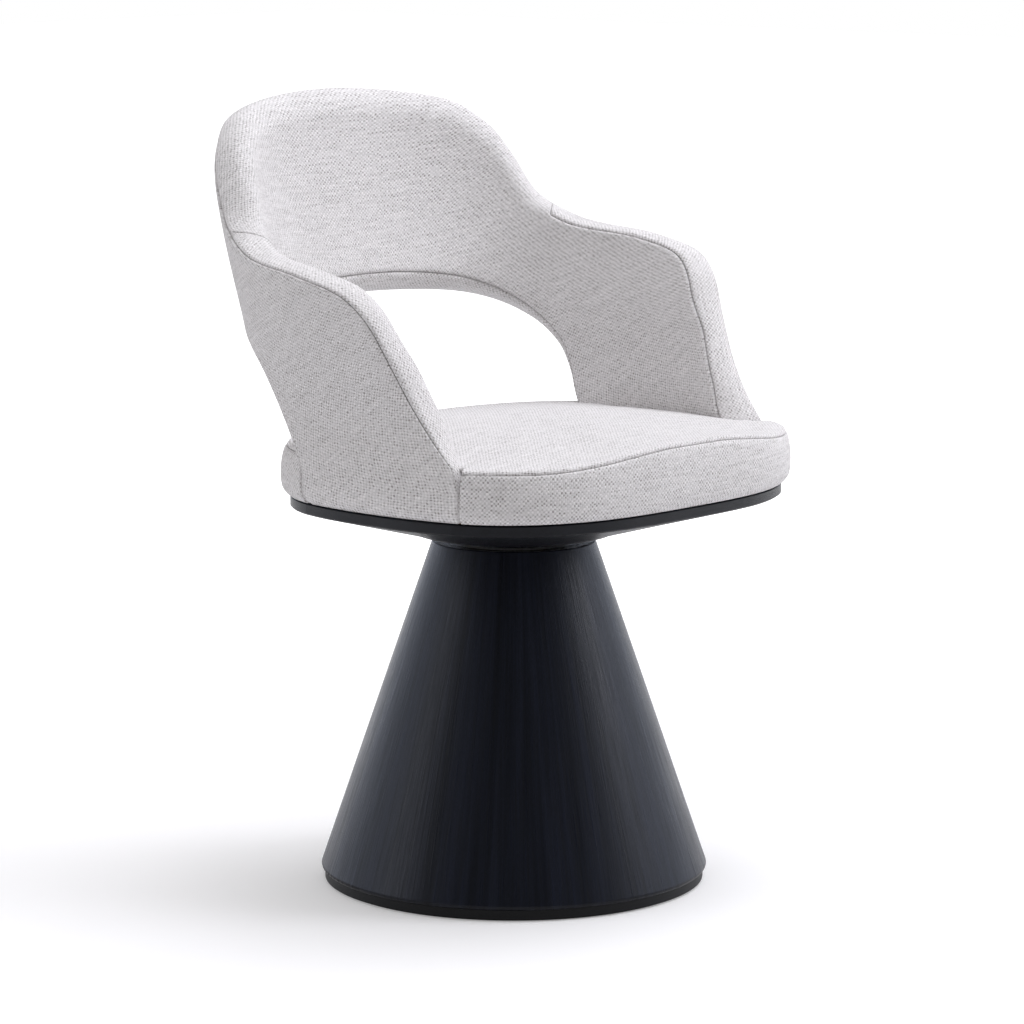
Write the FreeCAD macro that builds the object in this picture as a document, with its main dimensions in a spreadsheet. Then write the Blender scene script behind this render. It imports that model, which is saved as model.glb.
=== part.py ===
import FreeCAD, Part
import Sketcher
import math
import os
import re

# Swivelling tub armchair. Origin on the floor in the middle of the foot, +Z up, front of the seat towards -Y.
# All lengths are in millimetres and all angles in degrees.

Vector = FreeCAD.Vector
doc = FreeCAD.newDocument("dining_armchair")

# Driving sizes
SIZES = {
    # Foot and cone
    "floor_pad_radius": 190,
    "floor_pad_thickness": 2,
    "foot_plate_radius": 195,
    "foot_plate_thickness": 9.5,
    "cone_bottom_radius": 200,
    "cone_top_radius": 83.5,
    "cone_height": 340.5,
    "cone_wall": 12,
    "cone_edge_radius": 4,
    "base_ring_width": 30,
    "base_ring_height": 18,
    "top_ring_height": 20,
    "ring_screw_radius": 2.5,
    "ring_screw_length": 16,
    "ring_screw_count": 6,
    # Column
    "column_radius": 30,
    "column_wall": 3,
    "base_flange_radius": 75,
    "top_flange_radius": 68,
    "flange_thickness": 6,
    "foot_bolt_circle": 55,
    "foot_bolt_radius": 5,
    "foot_bolt_head_radius": 8.5,
    "foot_bolt_count": 4,
    # Swivel bearing
    "race_radius": 68,
    "race_thickness": 5,
    "race_gap": 4.5,
    "race_recess": 5.5,
    "ball_radius": 4,
    "ball_circle": 48,
    "ball_count": 20,
    "ball_play": 0.1,
    "cage_width": 14,
    "cage_thickness": 1.5,
    "race_screw_circle": 60,
    "race_screw_radius": 2.5,
    "race_screw_length": 20,
    "race_screw_count": 4,
    "pivot_radius": 6,
    "pivot_head_radius": 10,
    "pivot_head_height": 7.5,
    "bush_wall": 3,
    "washer_radius": 14,
    "washer_thickness": 3,
    "pivot_nut_radius": 9.5,
    "pivot_nut_height": 10,
    # Seat plate and board
    "plate_bottom_radius": 105,
    "plate_dish": 37,
    "plate_edge": 12,
    "plate_edge_round": 1.5,
    "board_thickness": 15,
    "board_inset": 4,
    "seat_bolt_circle": 88,
    "seat_bolt_recess": 16,
    "bolt_radius": 4,
    "bolt_head_radius": 6.5,
    "bolt_head_height": 5.5,
    "tee_nut_radius": 11,
    "tee_nut_barrel": 5.5,
    "tee_nut_flange": 1.5,
    "tee_nut_length": 12,
    # Upholstery
    "cover_thickness": 1.8,
    "cover_gap": 0.6,
    "seam_gap": 0.5,
    "leg_gap": 1.3,
    "strip_gap": 3,
    "bulge_rise": 30,
    "bulge_reach": 8.5,
    "seam_rise": 54.5,
    "crown_rise": 14,
    "squareness_seat": 2.9,
    "squareness_arm": 2.753,
    "squareness_crown": 2.417,
    "half_width_seat": 255.5,
    "half_width_arm": 271.1,
    "half_width_crown": 385.5,
    "half_depth_seat": 212,
    "half_depth_arm": 317.8,
    "half_depth_crown": 625.2,
    "rear_reach_seat": 179,
    "rear_reach_arm": 256.9,
    "rear_reach_crown": 287.3,
    "arm_level": 620,
    "crown_level": 790,
    # Shell outline
    "back_height": 786,
    "shoulder_height": 656,
    "opening_height": 587,
    "opening_inner_height": 599,
    "leg_front_angle": 116.5,
    "leg_rear_angle": 69.7,
    "leg_rear_inner_angle": 61.6,
    "back_thickness": 42,
    "arm_thickness": 33,
    "leg_thickness": 35,
    "back_roll": 13,
    "arm_roll": 5,
    "opening_roll": 8,
    "arm_tilt": 6,
    # Steel frame inside the shell
    "frame_rod_radius": 6,
    "strut_radius": 4,
    "frame_edge_inset": 20,
    "foot_strip_thickness": 4,
    "foot_strip_width": 18,
    "foot_strip_rear": 38,
    "foot_strip_front": -104,
    "foot_strip_inset": 25,
    "outer_rod_foot": -92,
    "inner_rod_foot": 26,
    "frame_bolt_rear": 4,
    "frame_bolt_front": -70,
    "weld_nut_radius": 7.5,
    "weld_nut_height": 6.5,
    "hole_play": 0.25,
    "thread_play": 0.05,
    "head_play": 2,
    "thread_end": 1,
}

# Levels and places that follow from the driving sizes
FITS = {
    "foot_plate_top": "floor_pad_thickness + foot_plate_thickness",
    "cone_top": "foot_plate_top + cone_height",
    "cone_slope": "(cone_bottom_radius - cone_top_radius) / cone_height",
    "cone_wall_across": "cone_wall * sqrt(1 + cone_slope * cone_slope)",
    "lower_race_bottom": "cone_top - race_recess",
    "lower_race_top": "lower_race_bottom + race_thickness",
    "upper_race_bottom": "lower_race_top + race_gap",
    "plate_bottom": "upper_race_bottom + race_thickness",
    "ball_level": "lower_race_top + race_gap / 2",
    "top_flange_bottom": "lower_race_bottom - flange_thickness",
    "base_flange_top": "foot_plate_top + flange_thickness",
    "column_bore": "column_radius - column_wall",
    "bush_radius": "pivot_radius + bush_wall",
    "plate_edge_bottom": "plate_bottom + plate_dish",
    "plate_top": "plate_edge_bottom + plate_edge",
    "board_top": "plate_top + board_thickness",
    "seat_level": "plate_top + bulge_rise",
    "seam_level": "plate_top + seam_rise",
    "cover_bottom": "plate_top + cover_gap",
    "foam_bottom": "board_top + cover_gap",
    "foam_inset": "cover_thickness + cover_gap",
    "foot_strip_top": "board_top + foot_strip_thickness",
    "foot_strip_across": "half_width_seat - foot_strip_inset",
}

NAMES = set(SIZES) | set(FITS)


def formula(words):
    """A formula over names of sizes as an expression over the sheet's cells."""
    return re.sub(r"[a-z_]+", lambda word: "sizes." * (word.group() in NAMES) + word.group(), words)


sheet = doc.addObject("Spreadsheet::Sheet", "sizes")
for row, name in enumerate(list(SIZES) + list(FITS), 1):
    sheet.set("A%d" % row, name)
    sheet.set("B%d" % row, str(SIZES[name]) if name in SIZES else "=" + FITS[name])
    sheet.setAlias("B%d" % row, name)
doc.recompute()
size = {name: float(sheet.get(name)) for name in NAMES}
pieces = []


# Turned and padded pieces

def plane(body, role):
    return next(item for item in body.Origin.OriginFeatures if item.Role == role)


def new_body(label):
    body = doc.addObject("PartDesign::Body", label)
    pieces.append(body)
    return body


def constrain(sketch, kind, words, *where):
    """Adds one dimension to a sketch and ties it to the sheet."""
    index = sketch.addConstraint(Sketcher.Constraint(kind, *where, 1.0))
    sketch.setExpression("Constraints[%d]" % index, formula(words))


def circle_sketch(body, name, level, radius, across=None):
    """A circle at a level, on the axis or out along +X."""
    sketch = body.newObject("Sketcher::SketchObject", name)
    sketch.AttachmentSupport = [(plane(body, "XY_Plane"), "")]
    sketch.MapMode = "FlatFace"
    sketch.setExpression("AttachmentOffset.Base.z", formula(level))
    sketch.addGeometry(Part.Circle(Vector(0, 0, 0), Vector(0, 0, 1), 1), False)
    if across is None:
        sketch.addConstraint(Sketcher.Constraint("Coincident", 0, 3, -1, 1))
    else:
        sketch.addConstraint(Sketcher.Constraint("PointOnObject", 0, 3, -1))
        constrain(sketch, "DistanceX", across, -1, 1, 0, 3)
    constrain(sketch, "Radius", radius, 0)
    return sketch


def pad(body, name, level, height, radius, across=None):
    feature = body.newObject("PartDesign::Pad", name)
    feature.Profile = circle_sketch(body, name + "_sketch", level, radius, across)
    feature.setExpression("Length", formula(height))
    body.Tip = feature
    return feature


def drill(body, name, top, depth, radius, across=None):
    """A round hole that goes down from a level."""
    feature = body.newObject("PartDesign::Pocket", name)
    feature.Profile = circle_sketch(body, name + "_sketch", top, radius, across)
    feature.setExpression("Length", formula(depth))
    body.Tip = feature
    return feature


def around(body, features, count):
    """Repeats features evenly about the upright axis."""
    pattern = body.newObject("PartDesign::PolarPattern", features[0].Name + "_ring")
    pattern.Originals = features
    pattern.Axis = (plane(body, "Z_Axis"), [""])
    pattern.Angle = 360
    pattern.setExpression("Occurrences", formula(count))
    body.Tip = pattern


def turned(label, corners):
    """A ring turned from a cross-section of (radius, level) corners."""
    body = new_body(label)
    sketch = body.newObject("Sketcher::SketchObject", label + "_profile")
    sketch.AttachmentSupport = [(plane(body, "XZ_Plane"), "")]
    sketch.MapMode = "FlatFace"
    count = len(corners)
    starts = [Vector(10 + 5 * math.cos(2 * math.pi * k / count), 10 + 5 * math.sin(2 * math.pi * k / count), 0)
              for k in range(count)]
    for k in range(count):
        sketch.addGeometry(Part.LineSegment(starts[k], starts[(k + 1) % count]), False)
    for k in range(count):
        sketch.addConstraint(Sketcher.Constraint("Coincident", k, 2, (k + 1) % count, 1))
    for k, (radius, level) in enumerate(corners):
        constrain(sketch, "DistanceX", radius, -1, 1, k, 1)
        constrain(sketch, "DistanceY", level, -1, 1, k, 1)
    feature = body.newObject("PartDesign::Revolution", label + "_turn")
    feature.Profile = sketch
    feature.ReferenceAxis = (sketch, ["V_Axis"])
    feature.Angle = 360
    body.Tip = feature
    return body


def plain_ring(label, bore, radius, bottom, height):
    top = "%s + %s" % (bottom, height)
    return turned(label, [(bore, bottom), (radius, bottom), (radius, top), (bore, top)])


def rounded(body, radius, level, amount):
    """Rounds the edge of a turned piece that lies at a radius and a level."""
    doc.recompute()
    turned_part = body.Tip
    names = []
    for k, edge in enumerate(turned_part.Shape.Edges, 1):
        curve = edge.Curve
        if isinstance(curve, Part.Circle) and abs(curve.Radius - radius) < 0.01 and abs(curve.Center.z - level) < 0.01:
            names.append("Edge%d" % k)
    fillet = body.newObject("PartDesign::Fillet", body.Name + "_round")
    fillet.Base = (turned_part, names)
    fillet.setExpression("Radius", formula(amount))
    body.Tip = fillet


# Foot: a rubber pad glued under a steel plate, with sunk holes for the flange bolts and the ring screws
floor_pad = new_body("floor_pad")
pad(floor_pad, "floor_pad_disc", "0", "floor_pad_thickness", "floor_pad_radius")

RING_SCREW_CIRCLE = "(cone_bottom_radius - cone_wall_across - base_ring_width / 2)"
foot_plate = new_body("foot_plate")
pad(foot_plate, "foot_disc", "floor_pad_thickness", "foot_plate_thickness", "foot_plate_radius")
flange_hole = drill(foot_plate, "flange_hole", "foot_plate_top", "foot_plate_thickness",
                    "foot_bolt_radius + hole_play", "foot_bolt_circle")
flange_sink = drill(foot_plate, "flange_sink", "floor_pad_thickness + bolt_head_height + hole_play",
                    "bolt_head_height + hole_play", "foot_bolt_head_radius + hole_play", "foot_bolt_circle")
around(foot_plate, [flange_hole, flange_sink], "foot_bolt_count")
ring_hole = drill(foot_plate, "ring_hole", "foot_plate_top", "foot_plate_thickness",
                  "ring_screw_radius + hole_play", RING_SCREW_CIRCLE)
ring_sink = drill(foot_plate, "ring_sink", "floor_pad_thickness + ring_screw_radius + hole_play",
                  "ring_screw_radius + hole_play", "ring_screw_radius * 2 + hole_play", RING_SCREW_CIRCLE)
around(foot_plate, [ring_hole, ring_sink], "ring_screw_count")

foot_bolts = new_body("foot_bolts")
foot_bolt_head = pad(foot_bolts, "foot_bolt_head", "floor_pad_thickness + hole_play / 2", "bolt_head_height",
                     "foot_bolt_head_radius", "foot_bolt_circle")
foot_bolt_shank = pad(foot_bolts, "foot_bolt_shank", "floor_pad_thickness + hole_play / 2",
                      "foot_plate_thickness + flange_thickness - hole_play", "foot_bolt_radius", "foot_bolt_circle")
around(foot_bolts, [foot_bolt_head, foot_bolt_shank], "foot_bolt_count")

# Cone shell: turned ash veneer over plywood, hollow, standing on the foot plate
cone_shell = turned("cone_shell", [
    ("cone_bottom_radius - cone_wall_across", "foot_plate_top"),
    ("cone_bottom_radius", "foot_plate_top"),
    ("cone_top_radius", "cone_top"),
    ("cone_top_radius - cone_wall_across", "cone_top")])
rounded(cone_shell, size["cone_bottom_radius"], size["foot_plate_top"], "cone_edge_radius")
rounded(cone_shell, size["cone_top_radius"], size["cone_top"], "cone_edge_radius / 3")

# Rings glued inside the cone at its bottom and under the top flange
INNER_BOTTOM = "cone_bottom_radius - cone_wall_across - seam_gap"
base_ring = turned("cone_base_ring", [
    (INNER_BOTTOM + " - base_ring_width", "foot_plate_top"),
    (INNER_BOTTOM, "foot_plate_top"),
    (INNER_BOTTOM + " - cone_slope * base_ring_height", "foot_plate_top + base_ring_height"),
    (INNER_BOTTOM + " - base_ring_width", "foot_plate_top + base_ring_height")])
ring_pilot = drill(base_ring, "ring_pilot", "foot_plate_top + ring_screw_length", "ring_screw_length",
                   "ring_screw_radius + thread_play", RING_SCREW_CIRCLE)
around(base_ring, [ring_pilot], "ring_screw_count")

ring_screws = new_body("cone_ring_screws")
ring_screw_head = pad(ring_screws, "ring_screw_head", "floor_pad_thickness + hole_play / 2", "ring_screw_radius",
                      "ring_screw_radius * 2", RING_SCREW_CIRCLE)
ring_screw_shank = pad(ring_screws, "ring_screw_shank", "floor_pad_thickness + hole_play / 2",
                       "foot_plate_thickness + ring_screw_length - 1", "ring_screw_radius", RING_SCREW_CIRCLE)
around(ring_screws, [ring_screw_head, ring_screw_shank], "ring_screw_count")

TOP_RING_TOP = "top_flange_bottom"
TOP_RING_BOTTOM = "(top_flange_bottom - top_ring_height)"
INNER_AT = "cone_bottom_radius - cone_wall_across - seam_gap - cone_slope * (%s - foot_plate_top)"
turned("cone_top_ring", [
    ("column_radius + hole_play", TOP_RING_BOTTOM),
    (INNER_AT % TOP_RING_BOTTOM, TOP_RING_BOTTOM),
    (INNER_AT % TOP_RING_TOP, TOP_RING_TOP),
    ("column_radius + hole_play", TOP_RING_TOP)])

# Column: a steel tube welded between two flanges
base_flange = new_body("column_base_flange")
pad(base_flange, "base_flange_disc", "foot_plate_top", "flange_thickness", "base_flange_radius")
flange_thread = drill(base_flange, "flange_thread", "base_flange_top", "flange_thickness",
                      "foot_bolt_radius + thread_play", "foot_bolt_circle")
around(base_flange, [flange_thread], "foot_bolt_count")

plain_ring("column_tube", "column_bore", "column_radius", "base_flange_top",
           "(top_flange_bottom - base_flange_top)")

top_flange = plain_ring("column_top_flange", "bush_radius + thread_play", "top_flange_radius",
                        "top_flange_bottom", "flange_thickness")
race_thread = drill(top_flange, "race_thread", "lower_race_bottom", "flange_thickness",
                    "race_screw_radius + thread_play", "race_screw_circle")
around(top_flange, [race_thread], "race_screw_count")

# Swivel bearing: two pressed steel races with a ring of balls in a cage between them


def race(label, bottom, bore, screw_top, sink_top):
    """One race with its ball track and its sunk screw holes."""
    body = plain_ring(label, bore, "race_radius", bottom, "race_thickness")
    sketch = body.newObject("Sketcher::SketchObject", label + "_track_sketch")
    sketch.AttachmentSupport = [(plane(body, "XZ_Plane"), "")]
    sketch.MapMode = "FlatFace"
    sketch.addGeometry(Part.Circle(Vector(10, 10, 0), Vector(0, 0, 1), 1), False)
    constrain(sketch, "DistanceX", "ball_circle", -1, 1, 0, 3)
    constrain(sketch, "DistanceY", "ball_level", -1, 1, 0, 3)
    constrain(sketch, "Radius", "ball_radius + ball_play", 0)
    track = body.newObject("PartDesign::Groove", label + "_track")
    track.Profile = sketch
    track.ReferenceAxis = (sketch, ["V_Axis"])
    track.Angle = 360
    body.Tip = track
    hole = drill(body, label + "_hole", screw_top, "race_thickness", "race_screw_radius + hole_play",
                 "race_screw_circle")
    sink = drill(body, label + "_sink", sink_top, "race_screw_radius + hole_play",
                 "race_screw_radius * 2 + hole_play", "race_screw_circle")
    around(body, [hole, sink], "race_screw_count")
    return body


def race_screws(label, head_level, shank_level, length):
    body = new_body(label)
    head = pad(body, label + "_head", head_level, "race_screw_radius", "race_screw_radius * 2",
               "race_screw_circle")
    shank = pad(body, label + "_shank", shank_level, length, "race_screw_radius", "race_screw_circle")
    around(body, [head, shank], "race_screw_count")


race("bearing_lower_race", "lower_race_bottom", "bush_radius + thread_play", "lower_race_top", "lower_race_top")
race("bearing_upper_race", "upper_race_bottom", "pivot_radius + thread_play", "plate_bottom",
     "upper_race_bottom + race_screw_radius + hole_play")
race_screws("lower_race_screws", "lower_race_top - race_screw_radius - hole_play / 2",
            "top_flange_bottom + hole_play", "race_thickness + flange_thickness - race_screw_radius")
race_screws("upper_race_screws", "upper_race_bottom + hole_play / 2", "upper_race_bottom + hole_play / 2",
            "race_screw_length")

balls = []
for k in range(int(size["ball_count"])):
    ball = doc.addObject("Part::Sphere", "ball_%02d" % (k + 1))
    ball.setExpression("Radius", formula("ball_radius"))
    turn = "%d * 360 / ball_count" % k
    ball.setExpression("Placement.Base.x", formula("ball_circle * cos(%s)" % turn))
    ball.setExpression("Placement.Base.y", formula("ball_circle * sin(%s)" % turn))
    ball.setExpression("Placement.Base.z", formula("ball_level"))
    balls.append(ball)
ball_group = doc.addObject("Part::Compound", "bearing_balls")
ball_group.Links = balls
pieces.append(ball_group)

cage = plain_ring("bearing_cage", "ball_circle - cage_width / 2", "ball_circle + cage_width / 2",
                  "ball_level - cage_thickness / 2", "cage_thickness")
cage_hole = drill(cage, "cage_hole", "ball_level + cage_thickness", "cage_thickness * 2",
                  "ball_radius + ball_play * 1.5", "ball_circle")
around(cage, [cage_hole], "ball_count")

# Pivot: a bolt from the upper race down through a bush in the top flange, held by a washer and a lock nut
PIVOT_END = "(top_flange_bottom - hole_play - washer_thickness - pivot_nut_height)"
pivot_bolt = new_body("pivot_bolt")
pad(pivot_bolt, "pivot_head", "plate_bottom", "pivot_head_height", "pivot_head_radius")
pad(pivot_bolt, "pivot_shank", PIVOT_END + " - head_play", "plate_bottom - %s + head_play" % PIVOT_END, "pivot_radius")
plain_ring("pivot_bush", "pivot_radius + thread_play", "bush_radius", "top_flange_bottom",
           "(lower_race_top - top_flange_bottom)")
plain_ring("pivot_washer", "pivot_radius + thread_play", "washer_radius",
           PIVOT_END + " + pivot_nut_height", "washer_thickness")
plain_ring("pivot_nut", "pivot_radius + thread_play", "pivot_nut_radius", PIVOT_END, "pivot_nut_height")
doc.recompute()

# The skin: the upholstery's outer surface, a squared oval at each level, as wide and deep as the girths say
GIRTH_LEVELS = (size["seat_level"], size["arm_level"], size["crown_level"])
ARCS = 16


def between_levels(name, level):
    """A girth at a level, on the parabola through its seat, arm and crown values."""
    low, middle, high = GIRTH_LEVELS
    at_low, at_middle, at_high = (size[name + part] for part in ("_seat", "_arm", "_crown"))
    first = (at_middle - at_low) / (middle - low)
    second = ((at_high - at_middle) / (high - middle) - first) / (high - low)
    return at_low + first * (level - low) + second * (level - low) * (level - middle)


def skin(angle, level, inset=0.0):
    """The skin's point at an angle from the rear, positive towards +X."""
    girth_level = max(level, size["seat_level"])
    drop = size["bulge_reach"] * ((girth_level - level) / size["bulge_rise"]) ** 2
    power = between_levels("squareness", girth_level)
    depth = between_levels("half_depth", girth_level)
    centre = between_levels("rear_reach", girth_level) - depth
    across = abs(math.sin(math.radians(angle))) / (between_levels("half_width", girth_level) - drop - inset)
    along = abs(math.cos(math.radians(angle))) / (depth - drop - inset)
    reach = (across ** power + along ** power) ** (-1 / power)
    return Vector(reach * math.sin(math.radians(angle)), centre + reach * math.cos(math.radians(angle)), level)


def ease(value, start, end):
    """From 0 at start to 1 at end, level at both."""
    share = min(1.0, max(0.0, (value - start) / (end - start)))
    return share * share * (3 - 2 * share)


def inward(angle, level):
    """The unit vector into the upholstery, square to the skin, and level at the legs' feet."""
    level = max(level, size["seat_level"])
    round_the_skin = skin(angle + 0.5, level) - skin(angle - 0.5, level)
    up_the_skin = skin(angle, level + 1) - skin(angle, level)
    direction = round_the_skin.cross(up_the_skin)
    direction.z *= ease(level, size["seam_level"], size["arm_level"])
    return direction.normalize()


def arc(start, middle, end):
    return Part.Arc(start, middle, end).toShape()


def oval(level, inset=0.0, lift=0.0):
    """A closed outline of arcs round the skin at a level."""
    step = 360.0 / ARCS
    edges = []
    for k in range(ARCS):
        points = [skin(step * (k + share), level, inset) + Vector(0, 0, lift) for share in (0, 0.5, 1)]
        edges.append(arc(*points))
    return Part.Wire(edges)


def round_outline(radius, level):
    step = 360.0 / ARCS
    point = lambda angle: Vector(radius * math.sin(math.radians(angle)), radius * math.cos(math.radians(angle)), level)
    return Part.Wire([arc(*(point(step * (k + share)) for share in (0, 0.5, 1))) for k in range(ARCS)])


def cylinder(radius, bottom, top, x=0.0, y=0.0):
    return Part.makeCylinder(radius, top - bottom, Vector(x, y, bottom))


def on_circle(radius, count, first=0.0):
    for k in range(count):
        angle = math.radians(first + 360.0 * k / count)
        yield radius * math.cos(angle), radius * math.sin(angle)


def add_piece(label, shape):
    piece = doc.addObject("Part::Feature", label)
    piece.Shape = shape
    piece.Placement = FreeCAD.Placement()
    pieces.append(piece)
    return piece


# Seat plate: black wood with a rounded edge band, dished below down to a round face on the bearing
PLATE_TOP, PLATE_BOTTOM = size["plate_top"], size["plate_bottom"]
edge_round = size["plate_edge_round"]


def plate_outline(level, inset):
    outline = oval(PLATE_TOP, inset)
    outline.translate(Vector(0, 0, level - PLATE_TOP))
    return outline


plate_sections = [
    round_outline(size["plate_bottom_radius"] - edge_round, PLATE_BOTTOM),
    round_outline(size["plate_bottom_radius"], PLATE_BOTTOM + edge_round),
    plate_outline(size["plate_edge_bottom"], edge_round),
    plate_outline(size["plate_edge_bottom"] + edge_round, 0),
    plate_outline(PLATE_TOP - edge_round, 0),
    plate_outline(PLATE_TOP, edge_round)]
seat_plate = Part.makeLoft(plate_sections, True, True)
head_pocket = cylinder(size["pivot_head_radius"] + size["thread_end"], PLATE_BOTTOM,
                       PLATE_BOTTOM + size["pivot_head_height"] + size["head_play"])
seat_plate = seat_plate.cut(head_pocket)
SEAT_BOLTS = list(on_circle(size["seat_bolt_circle"], 4, 45))
recess_top = PLATE_BOTTOM + size["seat_bolt_recess"]
for x, y in SEAT_BOLTS:
    seat_plate = seat_plate.cut(cylinder(size["bolt_head_radius"] + size["head_play"], PLATE_BOTTOM, recess_top, x, y))
    seat_plate = seat_plate.cut(cylinder(size["bolt_radius"] + size["hole_play"], recess_top, PLATE_TOP, x, y))
screw_top = size["upper_race_bottom"] + size["race_screw_length"] + size["hole_play"]
for x, y in on_circle(size["race_screw_circle"], int(size["race_screw_count"])):
    screw_hole = cylinder(size["race_screw_radius"] + size["thread_play"], PLATE_BOTTOM, screw_top, x, y)
    seat_plate = seat_plate.cut(screw_hole)
add_piece("seat_plate", seat_plate)

# Seat board: plywood, screwed up from the plate, with tee nuts and the frame's bolt holes
BOARD_TOP = size["board_top"]
FRAME_BOLTS = [(side * size["foot_strip_across"], size[name]) for side in (-1, 1)
               for name in ("frame_bolt_rear", "frame_bolt_front")]
board = Part.Face(plate_outline(PLATE_TOP, size["board_inset"])).extrude(Vector(0, 0, size["board_thickness"]))
tee_play = size["thread_play"]
for x, y in SEAT_BOLTS:
    board = board.cut(cylinder(size["tee_nut_barrel"] + tee_play, PLATE_TOP, BOARD_TOP, x, y))
    board = board.cut(cylinder(size["tee_nut_radius"] + tee_play, BOARD_TOP - size["tee_nut_flange"], BOARD_TOP, x, y))
head_top = PLATE_TOP + size["bolt_head_height"] + 2 * size["hole_play"]
for x, y in FRAME_BOLTS:
    board = board.cut(cylinder(size["bolt_head_radius"] + size["head_play"], PLATE_TOP, head_top, x, y))
    board = board.cut(cylinder(size["bolt_radius"] + size["hole_play"], head_top, BOARD_TOP, x, y))
add_piece("seat_board", board)

tee_nuts = []
seat_bolts = []
for x, y in SEAT_BOLTS:
    nut = cylinder(size["tee_nut_barrel"], BOARD_TOP - size["tee_nut_length"], BOARD_TOP, x, y)
    nut = nut.fuse(cylinder(size["tee_nut_radius"], BOARD_TOP - size["tee_nut_flange"], BOARD_TOP, x, y))
    nut = nut.cut(cylinder(size["bolt_radius"] + tee_play, BOARD_TOP - size["tee_nut_length"], BOARD_TOP, x, y))
    tee_nuts.append(nut)
    bolt = cylinder(size["bolt_head_radius"], recess_top - size["bolt_head_height"], recess_top, x, y)
    seat_bolts.append(bolt.fuse(cylinder(size["bolt_radius"], recess_top, BOARD_TOP - size["thread_end"], x, y)))
add_piece("seat_tee_nuts", Part.makeCompound(tee_nuts))
add_piece("seat_bolts", Part.makeCompound(seat_bolts))

# Shell outline, as (share of the leg's angle, share of the height between two levels), rear middle first
BACK_EDGE = ((0, 1), (0.078, 0.96), (0.138, 0.88), (0.188, 0.71), (0.257, 0.43), (0.33, 0.16), (0.412, 0))
ARM_EDGE = ((0.575, 0.92), (0.712, 0.83), (0.798, 0.71), (0.867, 0.49), (0.921, 0.27), (0.957, 0.11), (1, 0))
OPENING_EDGE = ((0, 1), (0.26, 0.984), (0.5, 0.926), (0.675, 0.788), (0.803, 0.625), (0.89, 0.43), (0.954, 0.23),
                (0.99, 0.045), (1, -0.135))
OPENING_INNER_EDGE = ((0, 1), (0.31, 0.97), (0.5, 0.918), (0.65, 0.836), (0.763, 0.74), (0.877, 0.613),
                      (0.966, 0.457), (1.003, 0.257), (1.003, 0.078), (1, -0.123))
STATIONS = 24
CROSS_SEAM = (0.37, 0.385, 0.40)
ANGLE_WEIGHT = 3.5
# Shares of the arch over which its measures change, from the back to the arms and on to the legs
THINNER = (0.3, 0.55)
THICKER = (0.75, 0.95)
LESS_ROLL = (0.28, 0.43)
TILTING = (0.3, 0.5)
LEVELLING = (0.85, 0.98)
TOP_LEFT_TO_STRIP = 0.94
SIDES = ("outer", "top", "inner", "opening")


def outline(points, angle, low, high):
    return [Vector(size[angle] * share, size[low] + (size[high] - size[low]) * height, 0) for share, height in points]


def smooth(points, steps=40):
    """A smooth line of (angle, level) through points that start at the rear middle."""
    run = [Vector(-points[1].x, points[1].y, 0)] + points
    gaps = [Vector(ANGLE_WEIGHT * (b.x - a.x), b.y - a.y, 0).Length for a, b in zip(run, run[1:])]
    slopes = [(b - a) / gap for a, b, gap in zip(run, run[1:], gaps)]
    leaning = [(slopes[k] * gaps[k + 1] + slopes[k + 1] * gaps[k]) / (gaps[k] + gaps[k + 1])
               for k in range(len(gaps) - 1)] + [slopes[-1]]
    line = []
    for k in range(len(points) - 1):
        start, end, gap = points[k], points[k + 1], gaps[k + 1]
        for step in range(steps):
            t = step / steps
            line.append(start * (2 * t ** 3 - 3 * t * t + 1) + end * (3 * t * t - 2 * t ** 3)
                        + leaning[k] * gap * (t ** 3 - 2 * t * t + t) + leaning[k + 1] * gap * (t ** 3 - t * t))
    return line + [points[-1]]


def along(line, share):
    """The (angle, level) at a share of the line's length on the skin."""
    points = [skin(point.x, point.y) for point in line]
    lengths = [0.0]
    for a, b in zip(points, points[1:]):
        lengths.append(lengths[-1] + (b - a).Length)
    wanted = share * lengths[-1]
    k = next(k for k in range(1, len(lengths)) if lengths[k] >= wanted - 1e-9)
    part = (wanted - lengths[k - 1]) / (lengths[k] - lengths[k - 1])
    return line[k - 1] + (line[k] - line[k - 1]) * part


EDGE_LINE = smooth(outline(BACK_EDGE, "leg_front_angle", "shoulder_height", "back_height")
                   + outline(ARM_EDGE, "leg_front_angle", "seam_level", "shoulder_height"))
OPENING_LINE = smooth(outline(OPENING_EDGE, "leg_rear_angle", "seam_level", "opening_height"))
OPENING_INNER_LINE = smooth(outline(OPENING_INNER_EDGE, "leg_rear_inner_angle", "seam_level", "opening_inner_height"))


def bowed(start, end, towards, amount):
    """The middle of an arc from start to end that bows out by an amount."""
    chord = (end - start).normalize()
    return (start + end) / 2 + (towards - chord * towards.dot(chord)).normalize() * amount


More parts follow.
